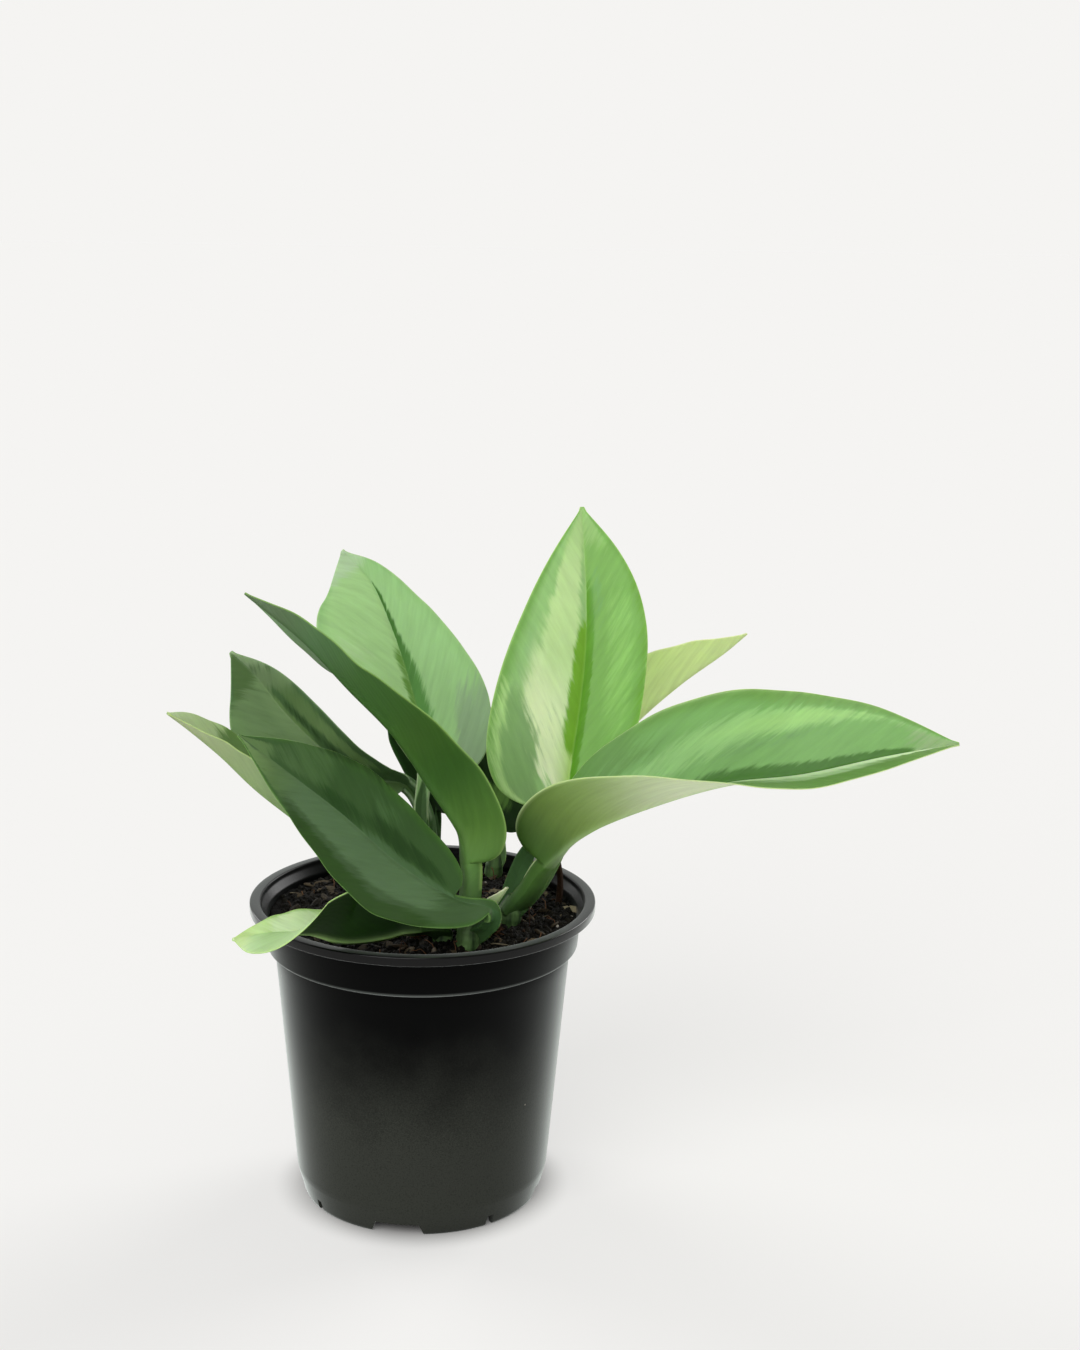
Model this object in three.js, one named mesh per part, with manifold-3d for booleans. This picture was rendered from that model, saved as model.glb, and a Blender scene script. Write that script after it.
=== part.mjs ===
// A moonlight scindapsus growing in its black nursery pot, in millimetres, +Z up.
// The origin is the middle of the pot's foot, on the surface that the pot stands on.
// +X is to the right of the plant's front and +Y is away from it.
import * as THREE from "three";
import { mergeVertices } from "three/addons/utils/BufferGeometryUtils.js";
import Module from "manifold-3d";

const wasm = await Module();
wasm.setup();

// Gaps and counts
const SEAT_GAP = 0.3; // between a piece and what it stands in or grows from
const POT_SIDES = 48;
const STEM_SIDES = 10;
const ROD_SIDES = 8;
const STRAND_SIDES = 5;
const SAMPLES_PER_SPAN = 40; // of a rib curve, between two of its points

// Pot: a 12 cm nursery pot
const POT = {
  height: 107,
  rimRadius: 60,
  lipWidth: 3.8,
  lipHeight: 3.2,
  edgeRound: 0.7,
  collarTopRadius: 55.2,
  collarFootRadius: 54,
  collarDrop: 15.6, // from the rim down to the step
  stepHeight: 1.2,
  bodyTopRadius: 51.4,
  heelRadius: 44.2,
  heelHeight: 9,
  footRadius: 41.4,
  wall: 1.3,
  floorHeight: 4.6, // the underside of the ring that the drain holes are in
  discRadius: 24, // the middle of the floor, which stands on the surface
  discSlope: 1.6,
};
const NOTCH = { first: -101, wide: 19, wideTop: 15, height: 4.2, small: 3.4, smallHeight: 4, count: 4, depth: 12 };
const DRAIN = { radius: 3.6, ring: 32.5, count: 4, sides: 14 };

// Soil: potting mix, filled to just under the rim
const SOIL = { top: 101, crown: 1.2, rings: 11, sides: 36, lumps: 46, lumpHeight: 1.7, lumpRadius: 5.5 };

// Leaf blades
const BLADE = {
  margin: 0.8, // thickness at the edge
  middle: 1, // thickness beside the midrib
  ribAtBase: 2.2, // thickness at the midrib
  ribAtTip: 0.9,
  tipHalfWidth: 0.5,
  start: [0, 0], // the share of the length where each half begins
  blunt: [2.8, 2.8], // how full the outline is by the base
  lobe: 7, // how far the margin reaches back by the base
  lobeEnd: 0.3, // the share of the length where the lobes end
  wave: 0.4, // how far the margin sways
  waves: 2,
};
const PETIOLE = { rings: 5, depth: 1.3, margin: 1, settle: 0.1 };
// Shares of the half width, from the left margin to the right one
const ACROSS = [-1, -0.72, -0.36, 0, 0.36, 0.72, 1];
// Shares of the blade's length
const ALONG = [0, 0.012, 0.035, 0.075, 0.13, 0.2, 0.29, 0.38, 0.48, 0.58, 0.68, 0.78, 0.87, 0.95, 1];

// Stems: points of the axis and radius
const STEMS = {
  front: { axis: [[15, -35, 84], [15.5, -34.5, 101], [16, -34, 113]], radius: 4 },
  left: { axis: [[7, -29, 84], [7, -29, 101], [6, -29, 110]], radius: 3.3 },
  right: { axis: [[28, -11, 84], [29, -12, 101], [31, -12, 112]], radius: 4.2 },
  middle: { axis: [[3, 14, 84], [2, 15, 101], [1, 17, 114]], radius: 3.6 },
  back: { axis: [[22, 36, 84], [25, 40, 101], [26, 40, 111]], radius: 3.2 },
};

const STEM_SWELL = [1, 1, 1.1, 1, 0.96, 1.08, 0.86, 0.45]; // of the radius, from the foot to the top

// Leaves. rib: points from the stem's axis along the petiole to the leaf's tip. neck: the point
// where the blade starts. face: where the upper surface looks, at even steps from the blade's base
// to its tip. half, widest, taper and blunt: for the left and right half, seen from above with the
// tip away, the greatest half width, the share of the length where it is, and how full the blade
// stays from there to the tip and to the base. start: the share of the length where each half begins,
// if that isn't the base. left and right: how far each half is folded up at
// the midrib and how much more it turns up by its margin, in degrees, at even steps. clears: the
// leaves by it that this one is kept clear of. petiole: its half width at the stem and
// at the blade.
const LEAVES = {
  upright: {
    stem: "right",
    rib: [[29, -11, 106], [32, -7, 116], [36, -3, 124], [42, 0, 129], [47.5, 3, 136], [51.7, 9, 157], [56, 18, 195], [54.5, 29, 240]],
    neck: 4,
    face: [[-0.1, -0.95, 0.3], [0, -1, 0.2], [0, -0.95, 0.25]],
    half: [31, 22.8],
    widest: [0.26, 0.5],
    taper: [2.1, 2.2],
    blunt: [2.3, 2.8],
    left: [[12, 5], [12, 0], [10, 0]],
    right: [[18, 5], [22, 5], [15, 0]],
    petiole: [3.2, 1.7],
    clears: ["reaching_right"],
  },
  reaching_right: {
    stem: "right",
    rib: [[30, -12, 106], [36, -15, 115], [42, -16, 125], [57, -17, 137], [77, -17, 146], [102, -18, 154], [127, -21, 158], [154, -27, 166], [177, -33, 172]],
    neck: 2,
    face: [[0, 0.35, 1], [0, -0.2, 1], [0, -0.5, 0.87], [0, -0.5, 0.85], [0, -0.5, 0.85]],
    half: [30.5, 28],
    widest: [0.5, 0.36],
    taper: [2.1, 1.6],
    blunt: [1.7, 2.8],
    left: [[60, 5], [40, 5], [15, 5]],
    right: [[60, 12], [40, 5], [15, 0]],
    petiole: [3, 3],
  },
  behind_right: {
    stem: "right",
    rib: [[31, -11, 105], [39, -5, 112], [46, 4, 122], [52, 15, 135], [61, 28, 148], [77, 38, 162], [93, 45, 174], [109, 51, 184], [117, 54, 190]],
    neck: 3,
    face: [[-0.6, 0.2, 0.75], [-0.6, 0.2, 0.75], [-0.6, 0.2, 0.75]],
    half: [20, 24.5],
    widest: [0.45, 0.45],
    taper: [2, 2],
    left: [[45, 5], [45, 5], [30, 0]],
    right: [[45, 5], [45, 5], [30, 0]],
    petiole: [2.2, 2],
    clears: ["reaching_right", "upright"],
  },
  back_centre: {
    stem: "middle",
    rib: [[2, 15, 106], [-1, 15, 133], [0, 20, 146], [-2, 32, 162], [-6, 45, 174], [-13, 62, 190], [-21, 77, 204], [-32, 90, 213]],
    neck: 2,
    face: [[-0.2, -0.75, 0.65], [-0.2, -0.75, 0.65], [-0.2, -0.75, 0.65]],
    half: [26.5, 27],
    widest: [0.6, 0.2],
    taper: [2.2, 1.3],
    blunt: [1.3, 2.8],
    left: [[30, 0], [15, 0], [5, 0]],
    right: [[12, 0], [15, 0], [40, 0]],
    petiole: [2.2, 2],
  },
  crossing_left: {
    stem: "front",
    rib: [[15, -33, 106], [17, -30, 119], [17, -27, 129], [13, -26, 139], [3, -24, 154], [-9, -20, 171], [-24, -14, 185], [-40, -7, 200], [-60, 2, 214]],
    neck: 2,
    face: [[0.78, 0.41, 0.46], [0.79, 0.3, 0.53], [0.78, 0.41, 0.46]],
    half: [25, 25],
    widest: [0.36, 0.36],
    blunt: [2.2, 2.8],
    taper: [1.8, 1.9],
    left: [[42, 0], [15, 0], [7, 0]],
    right: [[42, 0], [40, 0], [28, 0], [5, 0], [5, 0]],
    petiole: [3, 3],
    clears: ["front_left"],
  },
  mid_left: {
    stem: "middle",
    rib: [[2, 16, 106], [0, 27, 129], [-6, 28, 139], [-18, 23, 143], [-33, 15, 154], [-48, 8, 171], [-58, 3, 186], [-65, -1, 194]],
    neck: 2,
    face: [[0.3, -0.8, 0.4], [0.38, -0.93, 0], [0.38, -0.93, 0]],
    half: [25, 20],
    widest: [0.55, 0.5],
    taper: [2.2, 2],
    blunt: [1.2, 1.4],
    left: [[25, 5], [25, 5], [15, 0]],
    right: [[64, 15], [60, 12], [50, 0]],
    petiole: [2.2, 2],
    clears: ["back_centre"],
  },
  front_left: {
    stem: "front",
    rib: [[17, -36, 105], [21, -39, 109], [24, -41, 113.5], [23, -42, 117.5], [14, -42.5, 120], [6, -43.5, 124.2], [-7, -46, 134], [-26, -51, 153], [-43, -56, 168.5], [-57, -60, 181]],
    neck: 3,
    face: [[0.58, -0.65, 0.5], [0.58, -0.65, 0.5], [0.58, -0.65, 0.5]],
    half: [22.5, 20],
    start: [0, 0.125],
    widest: [0.36, 0.5],
    taper: [1.75, 1.6],
    blunt: [1.3, 2.5],
    left: [[8, 4], [3, 0], [0, 0]],
    right: [[8, 4], [3, 0], [0, 0]],
    petiole: [3, 2.6],
    clears: ["over_rim"],
  },
  far_left: {
    stem: "left",
    rib: [[7, -29, 105], [-9, -26, 122], [-28, -22, 132], [-44, -22, 144], [-55, -25, 154], [-66, -28, 166], [-76, -32, 176], [-82, -36, 182]],
    neck: 2,
    face: [[0.6, 0.2, 0.75], [0.68, 0.06, 0.73], [0.65, 0, 0.75]],
    half: [17, 14.5],
    widest: [0.5, 0.5],
    taper: [2.4, 2.4],
    left: [[35, 0], [35, 0], [25, 0]],
    right: [[30, 0], [30, 0], [15, 0]],
    petiole: [2.2, 2],
    clears: ["over_rim"],
  },
  over_rim: {
    stem: "left",
    rib: [[7, -30, 105], [4, -38, 110], [-2, -42, 111], [-12, -46, 109], [-25, -50, 109], [-36, -53, 113], [-48, -55, 114], [-61, -53, 111]],
    neck: 2,
    face: [[0, 0.3, 0.95], [0, 0.05, 1], [-0.2, -0.3, 0.93]],
    half: [24.5, 14],
    widest: [0.55, 0.45],
    taper: [1.8, 1.6],
    blunt: [1.6, 2.8],
    left: [[64, 0], [68, 0], [60, 0], [12, 0], [0, 0]],
    right: [[35, 5], [20, 5], [10, 0]],
    petiole: [2.2, 2.2],
  },
  shaded_left: {
    stem: "middle",
    rib: [[3, 16, 105], [4, 29, 121], [4, 34, 128], [2, 38, 138], [-1, 47, 153], [-4, 56, 167], [-7, 64, 181]],
    neck: 2,
    face: [[0, -0.75, 0.65], [0, -0.75, 0.65], [0, -0.75, 0.65]],
    half: [12.5, 15],
    blunt: [1.3, 2.8],
    widest: [0.45, 0.45],
    taper: [2, 2],
    left: [[10, 0], [10, 0], [5, 0]],
    right: [[10, 0], [10, 0], [5, 0]],
    petiole: [1.6, 1.5],
    clears: ["back_centre", "mid_left"],
  },
  shaded_centre: {
    stem: "back",
    rib: [[25, 40, 104], [27, 40, 108], [26, 41, 119], [24, 45, 135], [20, 54, 151], [16, 63, 164]],
    neck: 2,
    face: [[0, -0.75, 0.65], [0, -0.75, 0.65], [0, -0.75, 0.65]],
    half: [15, 15],
    widest: [0.45, 0.45],
    taper: [2, 2],
    left: [[10, 0], [10, 0], [5, 0]],
    right: [[10, 0], [10, 0], [5, 0]],
    petiole: [2.2, 2.4],
  },
};

// A repeatable stream of numbers from 0 to 1
function seeded(seed) {
  let state = seed;
  return () => {
    state = (state * 1664525 + 1013904223) % 4294967296;
    return state / 4294967296;
  };
}

// Turns a closed mesh into a solid that can be cut and joined
function solidOf(geometry) {
  const bare = geometry.clone();
  bare.deleteAttribute("normal");
  bare.deleteAttribute("uv");
  const merged = mergeVertices(bare, 1e-4);
  return new wasm.Manifold(
    new wasm.Mesh({
      numProp: 3,
      vertProperties: new Float32Array(merged.attributes.position.array),
      triVerts: new Uint32Array(merged.index.array),
    }),
  );
}

// Turns a solid back into a geometry
function geometryOf(solid) {
  const mesh = solid.getMesh();
  return new THREE.BufferGeometry()
    .setAttribute("position", new THREE.BufferAttribute(new Float32Array(mesh.vertProperties), 3))
    .setIndex(new THREE.BufferAttribute(new Uint32Array(mesh.triVerts), 1));
}

// Closes a row of rings, all with the same number of points, into one body. Each ring runs
// anticlockwise seen from the far end. The quads after point `turn` are split the other way, so
// that a thin blade is split alike on both of its faces.
function closedLoft(rings, turn = Infinity) {
  const size = rings[0].length;
  const points = rings.flat();
  const first = points.push(centreOf(rings[0])) - 1;
  const last = points.push(centreOf(rings[rings.length - 1])) - 1;
  const faces = [];
  for (let i = 0; i < size; i++) {
    const j = (i + 1) % size;
    for (let k = 0; k + 1 < rings.length; k++) {
      const [a, b, c, d] = [k * size + i, k * size + j, (k + 1) * size + j, (k + 1) * size + i];
      if (i < turn) faces.push(a, b, c, a, c, d);
      else faces.push(a, b, d, b, c, d);
    }
    const top = (rings.length - 1) * size;
    faces.push(first, j, i, last, top + i, top + j);
  }
  return new THREE.BufferGeometry().setFromPoints(points).setIndex(faces);
}

function centreOf(ring) {
  const sum = ring.reduce((total, point) => total.add(point), new THREE.Vector3());
  return sum.divideScalar(ring.length);
}

function vectorOf(point) {
  return new THREE.Vector3(...point);
}

function curveOf(points) {
  const curve = new THREE.CatmullRomCurve3(points.map(vectorOf), false, "centripetal");
  curve.arcLengthDivisions = SAMPLES_PER_SPAN * (points.length - 1);
  return curve;
}

// Values given at even steps from 0 to 1, read smoothly anywhere between them
function readAt(steps, t) {
  const place = Math.min(Math.max(t, 0), 1) * (steps.length - 1);
  const i = Math.min(Math.floor(place), steps.length - 2);
  const s = place - i;
  const [a, b, c, d] = [Math.max(i - 1, 0), i, i + 1, Math.min(i + 2, steps.length - 1)].map((k) => steps[k]);
  return b.map((value, k) => {
    const [leaving, arriving] = [(c[k] - a[k]) / 2, (d[k] - value) / 2];
    const rise = c[k] - value;
    return value + s * (leaving + s * (3 * rise - 2 * leaving - arriving + s * (leaving + arriving - 2 * rise)));
  });
}

// A blade's outline: its half width as a share of the greatest one
function outline({ widest, taper, blunt = BLADE.blunt }, half, t) {
  if (t <= 0) return 0;
  if (t < widest[half]) return (1 - (1 - t / widest[half]) ** blunt[half]) ** (1 / blunt[half]);
  const u = (t - widest[half]) / (1 - widest[half]);
  return (1 - u ** taper[half]) * (1 - 0.22 * u ** 10);
}

// One ring of a leaf: its upper face from left to right, then its lower face back
function leafRing(leaf, curve, u, t, gap) {
  const { start = BLADE.start } = leaf;
  const centre = curve.getPointAt(u);
  const along = curve.getTangentAt(u);
  const up = vectorOf(readAt(leaf.face, t));
  up.addScaledVector(along, -up.dot(along)).normalize();
  const right = new THREE.Vector3().crossVectors(along, up);
  const settled = THREE.MathUtils.smoothstep(t, 0, PETIOLE.settle);
  const stalk = THREE.MathUtils.lerp(leaf.petiole[1], leaf.petiole[0], Math.max(-t, 0));
  const rib = THREE.MathUtils.lerp(BLADE.ribAtBase, BLADE.ribAtTip, Math.max(t, 0));
  const upper = [];
  const lower = [];
  for (const q of ACROSS) {
    const side = Math.sign(q);
    const share = Math.abs(q);
    const half = q > 0 ? 1 : 0;
    const begun = (t - start[half]) / (1 - start[half]);
    const opened = outline(leaf, half, begun);
    const spread = leaf.half[half] * opened;
    const back = BLADE.lobe * opened * share ** 2 * Math.max(1 - begun / BLADE.lobeEnd, 0) ** 2;
    const width = Math.max(spread, stalk * Math.min(1 - t, 1) ** 8, BLADE.tipHalfWidth) + gap;
    const [fold, curl] = readAt(q > 0 ? leaf.right : leaf.left, t).map(THREE.MathUtils.degToRad);
    const turn = fold + curl * share;
    const bend = Math.abs(curl) < 1e-3 ? 1e-3 : curl;
    const out = (width * (Math.sin(fold + bend * share) - Math.sin(fold))) / bend;
    const rise = (width * (Math.cos(fold) - Math.cos(fold + bend * share))) / bend;
    const ripple = BLADE.wave * share ** 2 * settled * Math.sin(2 * Math.PI * BLADE.waves * t + 2 * side);
    const normal = up.clone().multiplyScalar(Math.cos(turn)).addScaledVector(right, -side * Math.sin(turn));
    const point = centre.clone().addScaledVector(right, side * out).addScaledVector(up, rise + ripple);
    point.addScaledVector(along, t > -1 ? -back : -gap);
    const blade = share === 0 ? rib : THREE.MathUtils.lerp(BLADE.middle, BLADE.margin, share);
    const round = PETIOLE.margin + PETIOLE.depth * stalk * Math.sqrt(1 - share ** 2);
    upper.push(point.clone().addScaledVector(normal, gap));
    lower.push(point.clone().addScaledVector(normal, -THREE.MathUtils.lerp(round, blade, settled) - gap));
  }
  return [...upper, ...lower.reverse()];
}

// A leaf with its petiole, as one body, thickened all round by the gap
function leafGeometry(leaf, gap = 0) {
  const curve = curveOf(leaf.rib);
  const lengths = curve.getLengths();
  const neck = lengths[SAMPLES_PER_SPAN * leaf.neck] / lengths[lengths.length - 1];
  const rings = [];
  for (let i = 0; i < PETIOLE.rings; i++) {
    const share = i / PETIOLE.rings;
    rings.push(leafRing(leaf, curve, neck * share, share - 1, gap));
  }
  for (const t of ALONG) rings.push(leafRing(leaf, curve, neck + (1 - neck) * t, t, gap));
  return closedLoft(rings, ACROSS.length);
}

// A round rod along a curve, with a radius for each of its rings
function rod(points, radii, sides) {
  const curve = curveOf(points);
  const start = curve.getTangentAt(0);
  const reference = Math.abs(start.x) < 0.8 ? new THREE.Vector3(1, 0, 0) : new THREE.Vector3(0, 1, 0);
  const rings = radii.map((radius, i) => {
    const u = i / (radii.length - 1);
    const centre = curve.getPointAt(u);
    const along = curve.getTangentAt(u);
    const across = reference.clone().addScaledVector(along, -reference.dot(along)).normalize();
    const other = new THREE.Vector3().crossVectors(along, across);
    return Array.from({ length: sides }, (_, k) => {
      const angle = (2 * Math.PI * k) / sides;
      return centre
        .clone()
        .addScaledVector(across, radius * Math.cos(angle))
        .addScaledVector(other, radius * Math.sin(angle));
    });
  });
  return closedLoft(rings);
}

// A row of points, lengthened at both ends
function longer(points, gap) {
  const beyond = (end, next) => {
    const [from, to] = [vectorOf(end), vectorOf(next)];
    return from.addScaledVector(to.sub(from).normalize(), -gap).toArray();
  };
  const last = points.length - 1;
  return [beyond(points[0], points[1]), ...points.slice(1, last), beyond(points[last], points[last - 1])];
}

// A stem, swollen at its nodes and rounded off at the top
function stemGeometry({ axis, radius }, gap = 0) {
  return rod(longer(axis, gap), STEM_SWELL.map((share) => radius * share + gap), STEM_SIDES);
}

// The pot's half section: the underside, the outside, the rim and the inside. The last points,
// from POT_INSIDE on, are the wall and floor that the soil lies against.
const POT_INSIDE = 20;
function potProfile() {
  const p = POT;
  const step = p.height - p.collarDrop;
  const e = p.edgeRound;
  const lipInner = p.rimRadius - p.lipWidth;
  return [
    [0, 0],
    [p.discRadius, 0],
    [p.discRadius + p.discSlope, p.floorHeight],
    [p.footRadius - p.wall - 0.4, p.floorHeight],
    [p.footRadius - p.wall - 0.6, 0],
    [p.footRadius, 0],
    [p.footRadius + 0.6, 1],
    [p.heelRadius, p.heelHeight],
    [p.heelRadius + 0.25, p.heelHeight + 1.5],
    [p.bodyTopRadius, step - p.stepHeight],
    [p.collarFootRadius - e, step - 0.1],
    [p.collarFootRadius, step + e],
    [p.collarTopRadius, p.height - p.lipHeight],
    [p.rimRadius - e, p.height - p.lipHeight],
    [p.rimRadius, p.height - p.lipHeight + e],
    [p.rimRadius, p.height - e],
    [p.rimRadius - e, p.height],
    [lipInner + e, p.height],
    [lipInner, p.height - e],
    [p.collarTopRadius - p.wall, p.height - p.lipHeight - 1],
    [p.collarFootRadius - p.wall, step + e],
    [p.bodyTopRadius - p.wall, step - p.stepHeight - 0.6],
    [p.heelRadius - p.wall + 0.25, p.heelHeight + 1.5],
    [p.heelRadius - p.wall - 0.3, p.heelHeight - 1.5],
    [p.heelRadius - p.wall - 1.4, p.floorHeight + p.wall],
    [p.discRadius + p.discSlope - p.wall * 0.75, p.floorHeight + p.wall],
    [p.discRadius - p.wall * 0.75, p.wall],
    [0, p.wall],
  ];
}

// A wedge-sided block that cuts one notch through the heel
function notchCutter(bottom, top, height, degrees) {
  const shape = new THREE.Shape([
    new THREE.Vector2(-bottom / 2, -1),
    new THREE.Vector2(bottom / 2, -1),
    new THREE.Vector2(top / 2, height),
    new THREE.Vector2(-top / 2, height),
  ]);
  return new THREE.ExtrudeGeometry(shape, { depth: NOTCH.depth, bevelEnabled: false })
    .rotateX(Math.PI / 2)
    .rotateZ(Math.PI / 2)
    .translate(POT.heelRadius + 4 - NOTCH.depth, 0, 0)
    .rotateZ(THREE.MathUtils.degToRad(degrees));
}

function potGeometry() {
  const points = potProfile().map(([r, z]) => new THREE.Vector2(r, z));
  const lathe = new THREE.LatheGeometry(points, POT_SIDES).rotateX(Math.PI / 2);
  let pot = solidOf(lathe);
  for (let i = 0; i < NOTCH.count; i++) {
    const wideAt = NOTCH.first + (360 * i) / NOTCH.count;
    const smallAt = wideAt + 180 / NOTCH.count;
    pot = pot.subtract(solidOf(notchCutter(NOTCH.wide, NOTCH.wideTop, NOTCH.height, wideAt)));
    pot = pot.subtract(solidOf(notchCutter(NOTCH.small, NOTCH.small * 0.7, NOTCH.smallHeight, smallAt)));
  }
  for (let i = 0; i < DRAIN.count; i++) {
    const angle = THREE.MathUtils.degToRad(NOTCH.first + (360 * (i + 0.5)) / DRAIN.count);
    const drill = new THREE.CylinderGeometry(DRAIN.radius, DRAIN.radius, 4 * POT.wall, DRAIN.sides)
      .rotateX(Math.PI / 2)
      .translate(DRAIN.ring * Math.cos(angle), DRAIN.ring * Math.sin(angle), POT.floorHeight + POT.wall / 2);
    pot = pot.subtract(solidOf(drill));
  }
  return geometryOf(pot);
}

// The lumps on the soil: where each lies, how wide and how high it is
function soilLumps() {
  const random = seeded(7);
  return Array.from({ length: SOIL.lumps }, () => {
    const radius = 48 * Math.sqrt(random());
    const angle = 2 * Math.PI * random();
    return {
      x: radius * Math.cos(angle),
      y: radius * Math.sin(angle),
      reach: SOIL.lumpRadius * (0.6 + 0.8 * random()),
      height: SOIL.lumpHeight * (random() - 0.35),
    };
  });
}

// The soil's height over a point of the pot
function soilHeight(lumps, x, y, edge) {
  const far = Math.hypot(x, y) / edge;
  let height = SOIL.top + SOIL.crown * (1 - far ** 2);
  for (const lump of lumps) {
    const near = Math.hypot(x - lump.x, y - lump.y) / lump.reach;
    if (near < 1) height += lump.height * (1 - near ** 2) ** 2;
  }
  return height;
}

function soilGeometry(cutters) {
  const lumps = soilLumps();
  const inside = potProfile().slice(POT_INSIDE, -1).reverse();
  const wall = inside.map(([r, z], i) => [r - SEAT_GAP * 1.3, i < 3 ? z + SEAT_GAP : z]);
  const edge = POT.collarTopRadius - POT.wall - SEAT_GAP * 2;
  const ring = (radius, height) =>
    Array.from({ length: SOIL.sides }, (_, k) => {
      const angle = (2 * Math.PI * k) / SOIL.sides;
      const [x, y] = [radius * Math.cos(angle), radius * Math.sin(angle)];
      return new THREE.Vector3(x, y, typeof height === "number" ? height : height(x, y));
    });
  const surface = (x, y) => soilHeight(lumps, x, y, edge);
  const rings = wall.map(([radius, z]) => ring(radius, z));
  for (let i = SOIL.rings; i > 0; i--) rings.push(ring((edge * i) / SOIL.rings, surface));
  return geometryOf(cutters.reduce((soil, cutter) => soil.subtract(cutter), solidOf(closedLoft(rings))));
}

// A pointed sheath left by the last leaf on the front stem
const SHEATH = {
  rib: [[16, -34, 106], [21, -32, 111], [24, -34, 117], [28, -36, 123]],
  neck: 1,
  face: [[-0.6, 0.7, 0.4], [-0.6, 0.7, 0.4], [-0.6, 0.7, 0.4]],
  half: [3.2, 3.2],
  widest: [0.2, 0.2],
  taper: [1.5, 1.5],
  left: [[30, 20], [30, 20], [20, 0]],
  right: [[30, 20], [30, 20], [20, 0]],
  petiole: [2, 2],
};

// A withered petiole and the cut end of an old vine, both standing in the soil
const DRY_STALK = { axis: [[45, 9, 93], [47.5, 9, 101], [48, 10, 112], [46, 12, 122]], radii: [1.4, 1.3, 1.2, 1.1, 1, 0.7] };
const CUT_VINE = { axis: [[34, 2, 95], [34, -1, 99], [33.5, -5, 102.5]], radii: [1.7, 1.7, 1.7, 1.8] };

// Tufts of dry fibre: each stands in the soil on its own plug
const TUFTS = {
  front: { at: [22, -24], strands: 6, seed: 3, reach: 6.5, height: 5 },
  left: { at: [-1, -26], strands: 5, seed: 5, reach: 5, height: 2.5 },
};
const TUFT = { plug: 2.2, depth: 6, rise: 3.2, strand: 0.75, tip: 0.35 };

// A rod that stands in the soil, thickened and lengthened by the gap
function standing({ axis, radii }, gap = 0) {
  return rod(longer(axis, gap), radii.map((radius) => radius + gap), ROD_SIDES);
}

function tuftPlug([x, y], gap = 0) {
  const r = TUFT.plug + gap;
  return rod([[x, y, SOIL.top - TUFT.depth - gap], [x, y, SOIL.top + TUFT.rise]], [r, r, r * 0.8], ROD_SIDES);
}

function tuftGeometry({ at: [x, y], strands, seed, reach, height }) {
  const random = seeded(seed);
  let tuft = solidOf(tuftPlug([x, y]));
  for (let i = 0; i < strands; i++) {
    const angle = (2 * Math.PI * (i + random() * 0.6)) / strands;
    const [c, s] = [Math.cos(angle), Math.sin(angle)];
    const out = reach * (0.6 + 0.4 * random());
    const up = height * (0.5 + 0.5 * random());
    const root = SOIL.top + 1;
    const path = [
      [x, y, root],
      [x + c * out * 0.35, y + s * out * 0.35, root + 2.6 + up * 0.5],
      [x + c * out * 0.75, y + s * out * 0.75, root + 2.8 + up * 0.7],
      [x + c * out, y + s * out, root + 2.4 + up * 0.5],
    ];
    tuft = tuft.add(solidOf(rod(path, [TUFT.strand, TUFT.strand, 0.6, TUFT.tip], STRAND_SIDES)));
  }
  return geometryOf(tuft);
}

// Materials
const finish = (color, roughness) => new THREE.MeshStandardMaterial({ color, roughness, metalness: 0 });
const BLACK_PLASTIC = finish(0x1b1d1d, 0.4);
const POTTING_MIX = finish(0x2c2019, 0.95);
const LEAF_GREEN = finish(0x4f8a3c, 0.35);
const LEAF_DARK = finish(0x2f5a30, 0.35);
const STEM_GREEN = finish(0x5f7d43, 0.5);
const DRY_BROWN = finish(0x6b4a33, 0.9);

const part = new THREE.Group();
function place(name, geometry, material) {
  const mesh = new THREE.Mesh(geometry, material);
  mesh.name = name;
  part.add(mesh);
}

const stemCutters = Object.fromEntries(
  Object.entries(STEMS).map(([name, stem]) => [name, solidOf(stemGeometry(stem, SEAT_GAP))]),
);

place("pot", potGeometry(), BLACK_PLASTIC);
place(
  "soil",
  soilGeometry([
    ...Object.values(stemCutters),
    solidOf(standing(DRY_STALK, SEAT_GAP)),
    solidOf(standing(CUT_VINE, SEAT_GAP)),
    ...Object.values(TUFTS).map((tuft) => solidOf(tuftPlug(tuft.at, SEAT_GAP))),
  ]),
  POTTING_MIX,
);
for (const [name, stem] of Object.entries(STEMS)) place(`stem_${name}`, stemGeometry(stem), STEM_GREEN);
for (const [name, leaf] of Object.entries(LEAVES)) {
  const cutters = (leaf.clears ?? []).map((other) => solidOf(leafGeometry(LEAVES[other], SEAT_GAP)));
  const solid = solidOf(leafGeometry(leaf)).subtract(stemCutters[leaf.stem]);
  const cleared = cutters.reduce((rest, cutter) => rest.subtract(cutter), solid);
  place(`leaf_${name}`, geometryOf(cleared), leaf.stem === "right" ? LEAF_GREEN : LEAF_DARK);
}
const clearOfSheath = ["front_left", "crossing_left"].map((name) => solidOf(leafGeometry(LEAVES[name], SEAT_GAP)));
const sheath = [stemCutters.front, ...clearOfSheath].reduce(
  (rest, cutter) => rest.subtract(cutter),
  solidOf(leafGeometry(SHEATH)),
);
place("sheath", geometryOf(sheath), STEM_GREEN);
place("dry_stalk", standing(DRY_STALK), DRY_BROWN);
place("cut_vine", standing(CUT_VINE), DRY_BROWN);
for (const [name, tuft] of Object.entries(TUFTS)) place(`dry_fibres_${name}`, tuftGeometry(tuft), DRY_BROWN);

export default part;
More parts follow.
